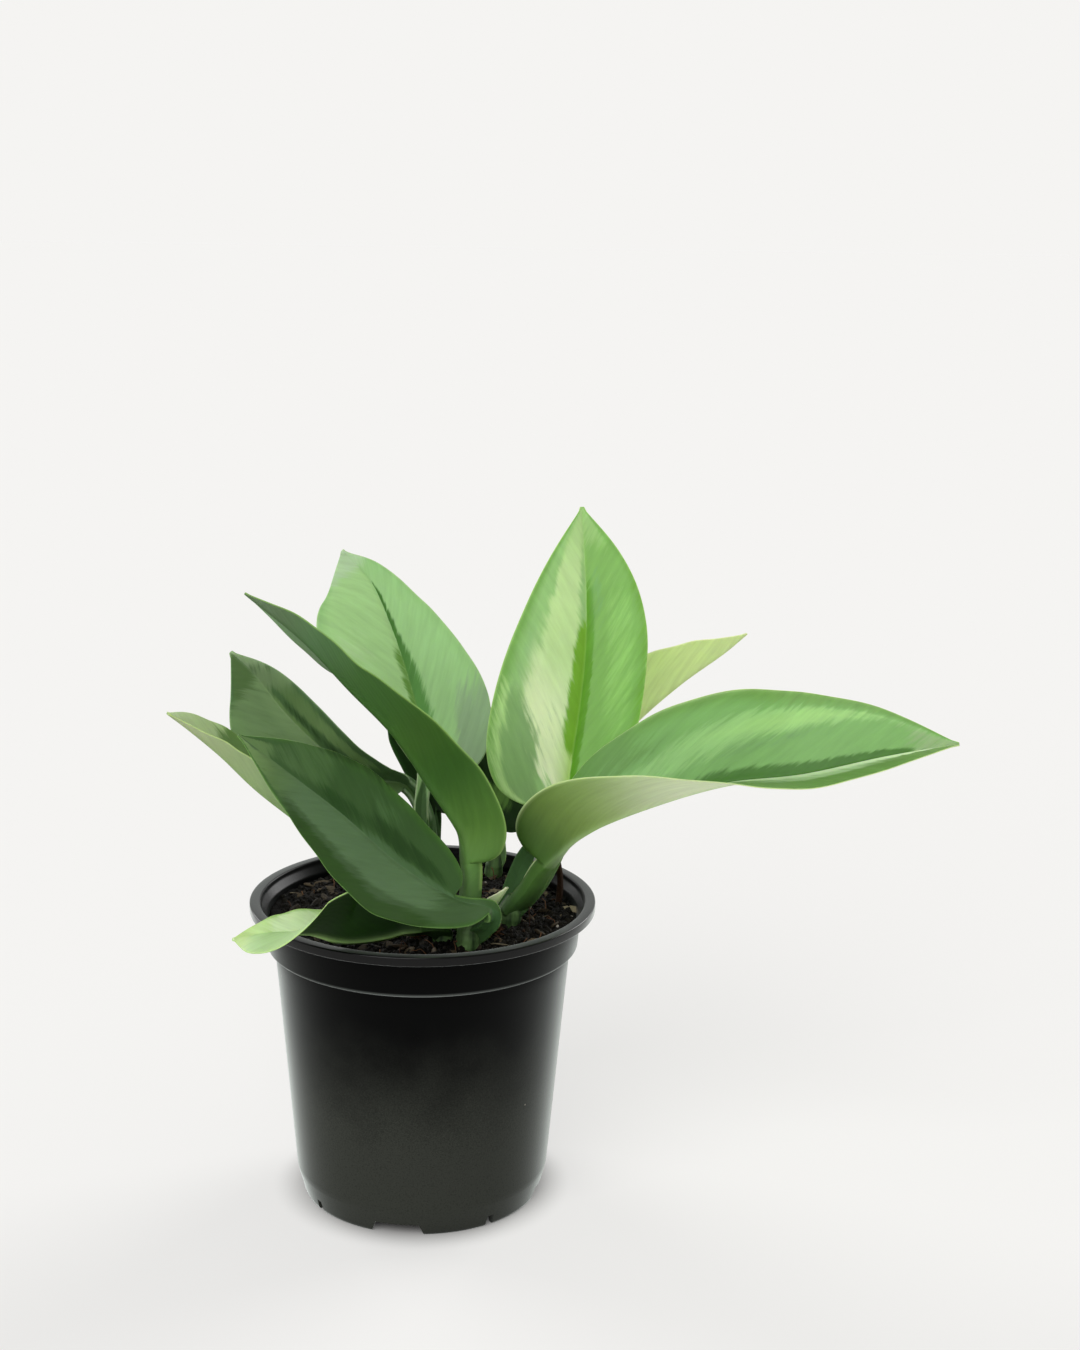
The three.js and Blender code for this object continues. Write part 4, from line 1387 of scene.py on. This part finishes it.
class Strewing:
    """A Geometry Nodes tree that sets small things on a surface, each turned and toned on its own.

    A kind of strewing names its inputs for sizes, and says what is set on each point and what is made
    of it once it is in place.
    """

    NAME = "strewing"
    SIZES: tuple[str, ...] = ()
    KINDS = {"Surface": "Geometry", "Seed": "Int", "Faces": "Int", "Finish": "Material"}
    TONE_SEED = 0
    KNOTS = 1.0  # a millimetre, in the noise that moves the points of each thing

    def __init__(self) -> None:
        """Builds the tree."""
        self.tree = tree = bpy.data.node_groups.new(self.NAME, "GeometryNodeTree")
        self.keys: dict[str, str] = {}
        for name in ("Surface", "Density", "Seed", *self.SIZES, "Unevenness", "Finish"):
            kind = f"NodeSocket{self.KINDS.get(name, 'Float')}"
            socket = tree.interface.new_socket(name=name, in_out="INPUT", socket_type=kind)
            self.keys[name] = socket.identifier
        tree.interface.new_socket(name="Strewn", in_out="OUTPUT", socket_type="NodeSocketGeometry")
        self.given = given = add_node(tree, "NodeGroupInput").outputs
        spots = {"Mesh": given["Surface"], "Density": given["Density"], "Seed": given["Seed"]}
        points = add_node(tree, "GeometryNodeDistributePointsOnFaces", spots, distribute_method="RANDOM")
        set_out = add_node(tree, "GeometryNodeInstanceOnPoints", {"Points": points, **self.things()})
        tone = add_node(tree, RANDOM, {2: 0.0, 3: 1.0, "Seed": self.TONE_SEED}, data_type="FLOAT")
        named = {"Geometry": set_out, "Name": "tone", "Value": tone.outputs[1]}
        toned = add_node(
            tree, "GeometryNodeStoreNamedAttribute", named, data_type="FLOAT", domain="INSTANCE"
        )
        real = add_node(tree, "GeometryNodeRealizeInstances", {0: toned})
        place = add_node(tree, "GeometryNodeInputPosition")
        swing = add_node(tree, NOISE, {"Vector": place, "Scale": self.KNOTS / MM, "Detail": 1.0}).outputs[1]
        centred = add_node(tree, VECTOR, {0: swing, 1: (0.5, 0.5, 0.5)}, operation="SUBTRACT")
        shift = add_node(tree, VECTOR, {0: centred, 3: given["Unevenness"]}, operation="SCALE")
        moved = add_node(tree, "GeometryNodeSetPosition", {"Geometry": real, "Offset": shift})
        dressed = {"Geometry": self.finished(moved), "Material": given["Finish"]}
        add_node(tree, "NodeGroupOutput", {0: add_node(tree, "GeometryNodeSetMaterial", dressed)})

    def things(self) -> dict:
        """What is set on each point: the instance, its turn and its scale."""
        raise NotImplementedError

    def finished(self, moved: Node) -> Node:
        """What is made of the things once they are in place."""
        return moved

    def strew(self, name: str, surface: Mesh, finish: Material, **values) -> Object:
        """Runs the tree on a surface and turns what it strews to a plain mesh.

        Args:
            name: the piece's name.
            surface: where the things stand.
            finish: their material.
            **values: the tree's other inputs, by lower-case name, with lengths in metres.

        Returns:
            The piece.
        """
        host = new_piece(f"{name}_host", surface, ())
        modifier = host.modifiers.new(self.NAME, "NODES")
        modifier.node_group = self.tree
        modifier[self.keys["Finish"]] = finish
        for key, value in values.items():
            modifier[self.keys[key.capitalize()]] = value
        mesh = without_modifiers(host)
        bpy.data.objects.remove(host)
        mesh.name = name
        return new_piece(name, mesh, (finish,))


class Grains(Strewing):
    """Strews grains: lumps of some length and thickness, tilted at random."""

    NAME = "scatter_grains"
    SIZES = ("Smallest", "Largest", "Length", "Thickness", "Tilt", "Faces")
    TONE_SEED = 5
    KNOTS = 0.9

    def things(self) -> dict:
        """A stretched ball, turned any way round and tilted up to the limit."""
        tree, given = self.tree, self.given
        span = {2: given["Smallest"], 3: given["Largest"], "Seed": given["Seed"]}
        size = add_node(tree, RANDOM, span, data_type="FLOAT").outputs[1]
        shape = add_node(tree, "ShaderNodeCombineXYZ", {0: given["Length"], 1: 1.0, 2: given["Thickness"]})
        scale = add_node(tree, VECTOR, {0: shape, 3: size}, operation="SCALE")
        tilt = given["Tilt"]
        back = add_node(tree, MATH, {0: tilt, 1: -1.0}, operation="MULTIPLY")
        low = add_node(tree, "ShaderNodeCombineXYZ", {0: back, 1: back, 2: 0.0})
        high = add_node(tree, "ShaderNodeCombineXYZ", {0: tilt, 1: tilt, 2: 2 * math.pi})
        limits = {0: low, 1: high, "Seed": given["Seed"]}
        turn = add_node(tree, RANDOM, limits, data_type="FLOAT_VECTOR")
        ball = {"Radius": 0.5, "Subdivisions": given["Faces"]}
        grain = add_node(tree, "GeometryNodeMeshIcoSphere", ball)
        return {"Instance": grain, "Rotation": turn, "Scale": scale}


class Strands(Strewing):
    """Grows curved, curly strands."""

    NAME = "grow_strands"
    SIZES = ("Length", "Thickness")
    TONE_SEED = 8
    KNOTS = 0.35

    def things(self) -> dict:
        """An arc that leans over, of more or less the length."""
        tree, given = self.tree, self.given
        bow = {"Resolution": 9, "Start": (0, 0, -0.15), "Middle": (0.25, 0, 0.55), "End": (0.95, 0.2, 0.3)}
        arc = add_node(tree, "GeometryNodeCurveQuadraticBezier", bow)
        limits = {0: (-0.5, -0.9, 0.0), 1: (0.5, 0.35, 2 * math.pi), "Seed": given["Seed"]}
        turn = add_node(tree, RANDOM, limits, data_type="FLOAT_VECTOR")
        size = add_node(tree, RANDOM, {2: 0.35, 3: 1.0, "Seed": given["Seed"]}, data_type="FLOAT")
        scale = add_node(tree, MATH, {0: size.outputs[1], 1: given["Length"]}, operation="MULTIPLY")
        return {"Instance": arc, "Rotation": turn, "Scale": scale}

    def finished(self, moved: Node) -> Node:
        """Gives each arc its thickness."""
        round_section = {"Resolution": 5, "Radius": self.given["Thickness"]}
        ring = add_node(self.tree, "GeometryNodeCurvePrimitiveCircle", round_section)
        swept = {"Curve": moved, "Profile Curve": ring, "Fill Caps": True}
        return add_node(self.tree, "GeometryNodeCurveToMesh", swept)


@dataclass(frozen=True)
class Ingredient:
    """What is strewn on the mix: lumps of one kind."""

    name: str
    finish: DryPlant
    density: float  # lumps on a square metre
    seed: int
    smallest: float
    largest: float
    length: float  # of the breadth
    thickness: float  # of the breadth
    tilt: float  # radians
    faces: int = 2  # how often a lump's faces are split
    unevenness: float = 0.5

    def sizes(self) -> dict[str, float]:
        """What the tree is given for it, with lengths in metres."""
        given = ("density", "seed", "length", "thickness", "tilt", "faces")
        lengths = ("smallest", "largest", "unevenness")
        return {k: getattr(self, k) for k in given} | {k: getattr(self, k) * MM for k in lengths}


@dataclass
class PottingMix:
    """Moist potting mix: a lumpy bed strewn with peat crumbs, bark chips and perlite."""

    top: float = 101
    crown: float = 1.2
    lumps: int = 46
    lump_height: float = 1.7
    lump_radius: float = 5.5
    lump_reach: float = 48
    seed: int = 7
    edge: float = 53.3
    bare_edge: float = 1.5
    rows: int = 70
    sides: int = 168
    crumble: float = 0.9  # the height of the fine relief
    crumb: float = 3.2
    # peat is nearly black while it is moist, and holds brown fibres
    peat: DryPlant = DryPlant("moist_peat", "#060503", "#17140D", grain=1.4, depth=0.5, roughness=0.7)
    # bark goes grey-brown as it rots, perlite is chalky and off-white with dust on it, and a scrap of
    # dry sheath is papery, flat and fawn
    ingredients: tuple[Ingredient, ...] = (
        Ingredient(
            "peat_crumbs", peat, density=3.2e5, seed=3, smallest=0.9, largest=2.8, length=1.3,
            thickness=0.8, tilt=1.2, faces=1, unevenness=0.3,
        ),
        Ingredient(
            "bark_chips",
            DryPlant("composted_bark", "#0C0A06", "#564B3A", grain=0.9, depth=0.3, roughness=0.6),
            density=2.6e4, seed=11, smallest=1.6, largest=4.2, length=1.8, thickness=0.35, tilt=0.7,
            unevenness=0.7,
        ),
        Ingredient(
            "perlite_grains",
            DryPlant("perlite", "#6F6A62", "#B8B3A8", grain=0.6, depth=0.2, roughness=0.9),
            density=4.5e3, seed=4, smallest=0.8, largest=1.9, length=1.1, thickness=0.9, tilt=1.5,
        ),
        Ingredient(
            "sheath_scraps",
            DryPlant("dry_leaf_sheath", "#2E261A", "#8E846C", grain=0.9, depth=0.1, roughness=0.6),
            density=6e3, seed=8, smallest=2.2, largest=4.6, length=1.7, thickness=0.14, tilt=0.8,
        ),
    )

    def __post_init__(self) -> None:
        """Draws the lumps that the solid has too."""
        draw = seeded(self.seed)
        self.humps = []
        for _ in range(self.lumps):
            radius = self.lump_reach * math.sqrt(next(draw))
            angle = 2 * math.pi * next(draw)
            reach = self.lump_radius * (0.6 + 0.8 * next(draw))
            height = self.lump_height * (next(draw) - 0.35)
            self.humps.append((radius * math.cos(angle), radius * math.sin(angle), reach, height))

    def height(self, x: float, y: float) -> float:
        """The height of the bed at a place, with its fine relief."""
        height = self.top + self.crown * (1 - (math.hypot(x, y) / self.edge) ** 2)
        for hx, hy, reach, rise in self.humps:
            near = math.hypot(x - hx, y - hy) / reach
            if near < 1:
                height += rise * (1 - near**2) ** 2
        place = Vector((x / self.crumb, y / self.crumb, 1.5))
        return height + self.crumble * noise.fractal(place, 0.8, 2.1, 4)

    def lay_bed(self, wall: Sequence[Pair], finish: Material) -> None:
        """Builds the bed, one closed body inside the pot, as a piece.

        Args:
            wall: radius and height of the points up the pot's inside, from the floor's middle.
            finish: its material.
        """
        rings = [level_ring(r, z, self.sides) for r, z in wall]
        for k in range(self.rows, 0, -1):
            radius = self.edge * k / self.rows
            ring = [(radius * math.cos(a), radius * math.sin(a)) for a in around(self.sides)]
            rings.append(np.array([(x, y, self.height(x, y)) for x, y in ring]))
        settle(new_piece("potting_mix_bed", lofted("bed", np.array(rings)), (finish,)), ("soil",))

    def surface(self, name: str, centre: Pair, reach: float, steps: int = 26) -> Mesh:
        """A round patch of the bed's surface, for things to stand on.

        Args:
            name: the mesh's name.
            centre: its middle.
            reach: its radius.
            steps: the number of squares from its middle to its edge.

        Returns:
            The mesh.
        """
        span = range(-steps, steps + 1)
        grid = {}
        points = []
        for i in span:
            for j in span:
                x, y = centre[0] + reach * i / steps, centre[1] + reach * j / steps
                grid[i, j] = len(points)
                points.append((x, y, self.height(x, y)))
        faces = [
            [grid[i, j], grid[i + 1, j], grid[i + 1, j + 1], grid[i, j + 1]]
            for i in span[:-1]
            for j in span[:-1]
            if math.hypot(i + 0.5, j + 0.5) < steps
            and math.hypot(*points[grid[i, j]][:2]) < self.edge - self.bare_edge
        ]
        return mesh_of(name, np.array(points), faces)

    def dress(self, wall: Sequence[Pair]) -> None:
        """Builds the bed and everything strewn on it.

        Args:
            wall: as for lay_bed.
        """
        peat = self.peat.make()
        self.lay_bed(wall, peat)
        grains = Grains()
        area = self.surface("strewn", (0, 0), self.edge - self.bare_edge)
        for one in self.ingredients:
            finish = peat if one.finish is self.peat else one.finish.make()
            settle(grains.strew(one.name, area, finish, **one.sizes()))


@dataclass
class DryFibres:
    """Dry brown fibres: tufts at the feet of the stems, left by old leaf sheaths, and loose ones."""

    # for each tuft, its place, the reach of its strands and their number
    tufts: dict[str, tuple[Pair, float, int]] = field(
        default_factory=lambda: {"front": ((22, -24), 6.5, 120), "left": ((-1, -26), 5, 90)}
    )
    tuft_radius: float = 2.2
    loose_density: float = 1.5e4  # strands on a square metre
    loose_length: float = 7
    bare_edge: float = 4
    thickness: float = 0.17
    curl: float = 2.4
    seed: int = 6

    def dress(self, mix: PottingMix, finish: Material) -> None:
        """Grows the tufts and the loose fibres on the bed.

        Args:
            mix: the bed that they stand in.
            finish: their material.
        """
        strands = Strands()
        area = math.pi * (self.tuft_radius * MM) ** 2
        alike = {"seed": self.seed, "thickness": self.thickness * MM, "unevenness": self.curl * MM}
        for name, (centre, length, count) in self.tufts.items():
            roots = mix.surface(f"{name}_roots", centre, self.tuft_radius, steps=6)
            sizes = {"density": count / area, "length": length * MM, **alike}
            tuft = strands.strew(f"fibre_tuft_{name}", roots, finish, **sizes)
            settle(tuft, (f"dry_fibres_{name}",))
        bed = mix.surface("loose_roots", (0, 0), mix.edge - self.bare_edge)
        sizes = {"density": self.loose_density, "length": self.loose_length * MM, **alike}
        settle(strands.strew("loose_fibres", bed, finish, **sizes))


# Pot


@dataclass
class NurseryPot:
    """A 12 cm nursery pot: a thin-walled moulding with a lip, a stepped collar and a notched heel."""

    height: float = 107
    rim_radius: float = 60
    lip_width: float = 3.8
    lip_height: float = 3.2
    collar_top_radius: float = 55.2
    collar_foot_radius: float = 54
    collar_drop: float = 15.6
    step_height: float = 1.2
    body_top_radius: float = 51.4
    heel_radius: float = 44.2
    heel_height: float = 9
    foot_radius: float = 41.4
    wall: float = 1.3
    floor_height: float = 4.6
    disc_radius: float = 24
    disc_slope: float = 1.6
    sides: int = 192
    corner: float = 0.55  # the radius of its moulded corners
    sharp: float = 38  # degrees, where the shading breaks
    seat_gap: float = 0.3
    notch_first: float = -101  # degrees
    notch_wide: Pair = (19, 15)
    notch_height: float = 4.2
    notch_small: Pair = (3.4, 2.4)
    notch_small_height: float = 4
    notch_depth: float = 12
    notch_inset: float = 8
    notch_count: int = 4
    drain_radius: float = 3.6
    drain_ring: float = 32.5
    drain_sides: int = 40
    drain_cut: float = 6  # the height of the block that cuts a drain hole, a third of it below the floor

    def profile(self) -> list[Pair]:
        """Half of its section: the underside, the outside, the rim and the inside."""
        step = self.height - self.collar_drop
        lip_inner = self.rim_radius - self.lip_width
        return [
            (0, 0),
            (self.disc_radius, 0),
            (self.disc_radius + self.disc_slope, self.floor_height),
            (self.foot_radius - self.wall - 0.4, self.floor_height),
            (self.foot_radius - self.wall - 0.6, 0),
            (self.foot_radius, 0),
            (self.foot_radius + 0.6, 1),
            (self.heel_radius, self.heel_height),
            (self.heel_radius + 0.25, self.heel_height + 1.5),
            (self.body_top_radius, step - self.step_height),
            (self.collar_foot_radius, step - 0.1),
            (self.collar_top_radius, self.height - self.lip_height),
            (self.rim_radius, self.height - self.lip_height),
            (self.rim_radius, self.height),
            (lip_inner, self.height),
            (lip_inner - 0.3, self.height - 1.6),
            (self.collar_top_radius - self.wall, self.height - self.lip_height - 1),
            (self.collar_foot_radius - self.wall, step + 0.7),
            (self.body_top_radius - self.wall, step - self.step_height - 0.6),
            (self.heel_radius - self.wall + 0.25, self.heel_height + 1.5),
            (self.heel_radius - self.wall - 0.3, self.heel_height - 1.5),
            (self.heel_radius - self.wall - 1.4, self.floor_height + self.wall),
            (self.disc_radius + self.disc_slope - self.wall * 0.75, self.floor_height + self.wall),
            (self.disc_radius - self.wall * 0.75, self.wall),
            (0, self.wall),
        ]

    def inside(self) -> list[Pair]:
        """The points up its inside that the potting mix lies against, a gap away from it."""
        wall = self.profile()[17:-1][::-1]
        lifts = [self.seat_gap] * 3 + [0] * len(wall)
        return [(r - self.seat_gap * 1.3, z + lift) for (r, z), lift in zip(wall, lifts)]

    def rounded(self, points: list[Pair]) -> np.ndarray:
        """Rounds every corner of a section between its ends.

        Args:
            points: the section.

        Returns:
            The rounded section.
        """
        p = [np.array(v, float) for v in points]
        out = [p[0]]
        for before, here, after in zip(p, p[1:], p[2:]):
            cut = min(self.corner, 0.4 * np.linalg.norm(here - before), 0.4 * np.linalg.norm(after - here))
            start = here + (before - here) / np.linalg.norm(before - here) * cut
            end = here + (after - here) / np.linalg.norm(after - here) * cut
            for s in np.linspace(0, 1, 5):
                out.append((1 - s) ** 2 * start + 2 * s * (1 - s) * here + s**2 * end)
        return np.array([*out, p[-1]])

    def turned(self) -> Mesh:
        """Turns the section into the whole pot, with no notches yet."""
        section = self.rounded(self.profile())
        rings = np.array([level_ring(r, z, self.sides) for r, z in section[1:-1]])
        points = np.vstack([rings.reshape(-1, 3), [0, 0, section[0][1]], [0, 0, section[-1][1]]])
        return mesh_of("pot", points, loft(rings))

    @staticmethod
    def block(outline: np.ndarray, push: np.ndarray) -> tuple[np.ndarray, list[list[int]]]:
        """A block with a flat outline at one end.

        Args:
            outline: the outline's points.
            push: the way from this end to the other one.

        Returns:
            Its points and faces.
        """
        count = len(outline)
        faces = [[i, (i + 1) % count, count + (i + 1) % count, count + i] for i in range(count)]
        faces += [list(range(count))[::-1], list(range(count, 2 * count))]
        return np.vstack([outline, outline + push]), faces

    def cutters(self) -> Mesh:
        """All that is cut from the pot's heel and floor, in one mesh."""
        blocks = []
        up = np.array([0, 0, 1])
        for i in range(self.notch_count):
            wide_at = math.radians(self.notch_first + 360 * i / self.notch_count)
            small_at = wide_at + math.pi / self.notch_count
            for (bottom, top), high, at in (
                (self.notch_wide, self.notch_height, wide_at),
                (self.notch_small, self.notch_small_height, small_at),
            ):
                out = np.array([math.cos(at), math.sin(at), 0])
                side = np.cross(up, out)
                near = out * (self.heel_radius - self.notch_inset)
                outline = [(-bottom / 2, -1), (bottom / 2, -1), (top / 2, high), (-top / 2, high)]
                corners = np.array([near + side * x + up * z for x, z in outline])
                blocks.append(self.block(corners, out * self.notch_depth))
            middle = self.drain_ring * np.array([math.cos(small_at), math.sin(small_at), 0])
            low = self.floor_height - self.drain_cut / 3
            hole = level_ring(self.drain_radius, low, self.drain_sides) + middle
            blocks.append(self.block(hole, up * self.drain_cut))
        points, faces = [], []
        for block, sides in blocks:
            shift = sum(len(p) for p in points)
            faces += [[shift + k for k in side] for side in sides]
            points.append(block)
        return mesh_of("cutters", np.vstack(points), faces)

    def dress(self, body: Material, lip: Material, inner: Material) -> None:
        """Builds the pot as a piece in its solid's place.

        Args:
            body: its finish.
            lip: the finish of its polished lip.
            inner: the finish of its inner side.
        """
        whole = new_piece("pot_moulding", self.turned(), (body, lip, inner))
        cutter = new_piece("pot_cutters", self.cutters(), ())
        cut = whole.modifiers.new("notches", "BOOLEAN")
        cut.operation, cut.solver, cut.object = "DIFFERENCE", "EXACT", cutter
        whole.data = mesh = without_modifiers(whole)
        bpy.data.objects.remove(cutter)
        mesh.shade_smooth()
        mesh.set_sharp_from_angle(angle=math.radians(self.sharp))
        lip_foot = (self.height - self.lip_height - self.corner) * MM
        for face in mesh.polygons:
            inward = face.normal.xy.dot(face.center.xy) < -0.3 * face.center.xy.length
            face.material_index = 2 if inward else int(face.center.z > lip_foot)
        settle(whole, ("pot",))


# Studio


@dataclass(frozen=True)
class SoftLight:
    """A wide, far light, such as a big softbox."""

    name: str
    towards: Point
    strength: float
    spread: float = 50  # degrees

    def onto_floor(self) -> float:
        """How much of it reaches a level surface."""
        x, y, z = self.towards
        return self.strength * -z / math.hypot(x, y, z)

    def build(self) -> None:
        """Adds it to the scene."""
        light = bpy.data.lights.new(self.name, "SUN")
        light.energy, light.angle = self.strength, math.radians(self.spread)
        lamp = bpy.data.objects.new(self.name, light)
        lamp.rotation_mode = "QUATERNION"
        lamp.rotation_quaternion = Vector(self.towards).to_track_quat("-Z", "Y")
        bpy.context.scene.collection.objects.link(lamp)


@dataclass
class Studio:
    """An opal floor lit from below, soft light and the camera at the photograph's angle.

    The floor and the backdrop look alike. The room sends less light than the backdrop shows.
    """

    backdrop: str = "#F5F4F2"
    room: float = 0.45
    floor: str = "#9E9D9B"
    contact_shadow: Pair = (34, 54)  # mm from the pot's axis, a painted contact shadow: no glow within the first, all of it past the second
    lights: tuple[SoftLight, ...] = (
        SoftLight("key_light", (0.35, 0.78, -0.62), 2.0),
        SoftLight("left_rim_light", (0.8, -0.75, -0.5), 1.4, 36),
        SoftLight("right_rim_light", (-0.8, -0.7, -0.5), 1.8, 36),
    )
    camera_at: Point = (0.0085, -0.7285, 0.3594)
    camera_right: Point = (0.9991, -0.0389, 0.0152)
    camera_up: Point = (-0.0058, 0.231, 0.9729)
    camera_back: Point = (-0.0414, -0.9722, 0.2306)
    focal_pixels: float = 2200
    frame_pixels: float = 1350
    sensor: float = 36
    floor_span: float = 8000

    def build(self) -> None:
        """Makes the world, the floor, the lights and the camera."""
        bpy.context.scene.view_settings.view_transform = "Standard"
        self.light_world()
        self.lay_floor()
        for light in self.lights:
            light.build()
        self.place_camera()

    def light_world(self) -> None:
        """Makes a world that looks like the backdrop and lights like the room."""
        world = bpy.data.worlds.new("studio")
        bpy.context.scene.world = world
        world.use_nodes = True
        tree = world.node_tree
        tree.nodes.clear()
        seen = add_node(tree, "ShaderNodeLightPath").outputs["Is Camera Ray"]
        strength = add_node(tree, RANGE, {0: seen, 3: self.room, 4: 1.0})
        shown = {"Color": linear(self.backdrop), "Strength": strength}
        glow = add_node(tree, "ShaderNodeBackground", shown)
        add_node(tree, "ShaderNodeOutputWorld", {"Surface": glow})

    def lay_floor(self) -> None:
        """Makes the floor, lit so much from below that it matches the backdrop, and paints a contact shadow
        round the pot by taking the glow away there.
        """
        backdrop, floor = linear(self.backdrop), linear(self.floor)
        direct = sum(light.onto_floor() for light in self.lights) / math.pi
        glow = [show - own * (self.room * show + direct) for show, own in zip(backdrop[:3], floor[:3])]
        matte, tree = new_material("opal_acrylic_floor")
        place = add_node(tree, "ShaderNodeTexCoord").outputs["Object"]
        away = add_node(tree, VECTOR, {0: place}, operation="LENGTH").outputs["Value"]
        near, far = (reach * MM for reach in self.contact_shadow)
        risen = {0: away, 1: near, 2: far, 3: 0.0, 4: 1.0}
        lit = add_node(tree, RANGE, risen, interpolation_type="SMOOTHSTEP")
        close_material(
            tree,
            {
                "Base Color": floor,
                "Roughness": 0.9,
                "Specular IOR Level": 0.0,
                "Emission Color": (*glow, 1.0),
                "Emission Strength": lit,
            },
        )
        span = self.floor_span
        corners = np.array([[-span, -span, 0], [span, -span, 0], [span, span, 0], [-span, span, 0]])
        new_piece("studio_floor", mesh_of("floor", corners, [[0, 1, 2, 3]]), (matte,))

    def place_camera(self) -> None:
        """Puts the camera where the photograph was taken from."""
        scene = bpy.context.scene
        lens = bpy.data.cameras.new("camera")
        lens.sensor_width = self.sensor
        lens.lens = self.sensor * self.focal_pixels / self.frame_pixels
        lens.clip_start, lens.clip_end = 0.01, 50
        camera = bpy.data.objects.new("camera", lens)
        axes = Matrix((self.camera_right, self.camera_up, self.camera_back)).transposed()
        camera.matrix_world = Matrix.Translation(self.camera_at) @ axes.to_4x4()
        scene.collection.objects.link(camera)
        scene.camera = camera


def main() -> None:
    """Builds every piece in order."""
    logging.basicConfig(level=logging.INFO, format="%(name)s: %(message)s")
    Studio().build()

    # dust and a painted reflection of the floor grey the pot's body downwards, its lip is handled and
    # shinier, and its inside is a copy with painted shade, darker and with little sheen
    pot = NurseryPot()
    edge = pot.height - pot.collar_drop
    body = BlackPolypropylene("black_polypropylene", roughness=0.36, shine=0.03, haze=1.0)
    lip = BlackPolypropylene("polished_polypropylene", roughness=0.18, shine=0.2, haze=0.92)
    # the inside: painted shade, a darker copy of the plastic with little sheen
    inner = BlackPolypropylene("moist_polypropylene", roughness=0.3, shine=0.1, haze=0.12, dust_and_reflection="#0A0A08")
    pot.dress(body.make(edge), lip.make(edge), inner.make(edge))
    mix = PottingMix()
    mix.dress(pot.inside())

    # the upper face has a satin gloss, and the underside is duller, with deeper veins
    upper = LivingLeaf("waxy_leaf_upper", roughness=0.42, vein_depth=0.015).make()
    lower = LivingLeaf("leaf_underside", roughness=0.6, vein_depth=0.025, shine=0.2).make()
    colours = paints()
    for leaf in leaves():
        leaf.dress(colours[leaf.name], upper, lower)
    Stems().dress(FleshyStem("fleshy_stem").make())

    # the stalk is dark and fibrous, the vine's cut face is bare pale wood, and old roots are red-brown
    old = OldGrowth()
    old.dress_stalk(DryPlant("withered_stalk_fibre", "#2A1C12", "#7A5A3E", grain=0.6, depth=0.2).make())
    old.dress_vine(DryPlant("cut_vine_wood", "#4A3A28", "#A08A68", grain=0.5, depth=0.1).make())
    DryFibres().dress(mix, DryPlant("dry_root_fibre", "#2C1A12", "#6E5038", grain=0.5, depth=0.05).make())


if __name__ == "__main__":
    main()
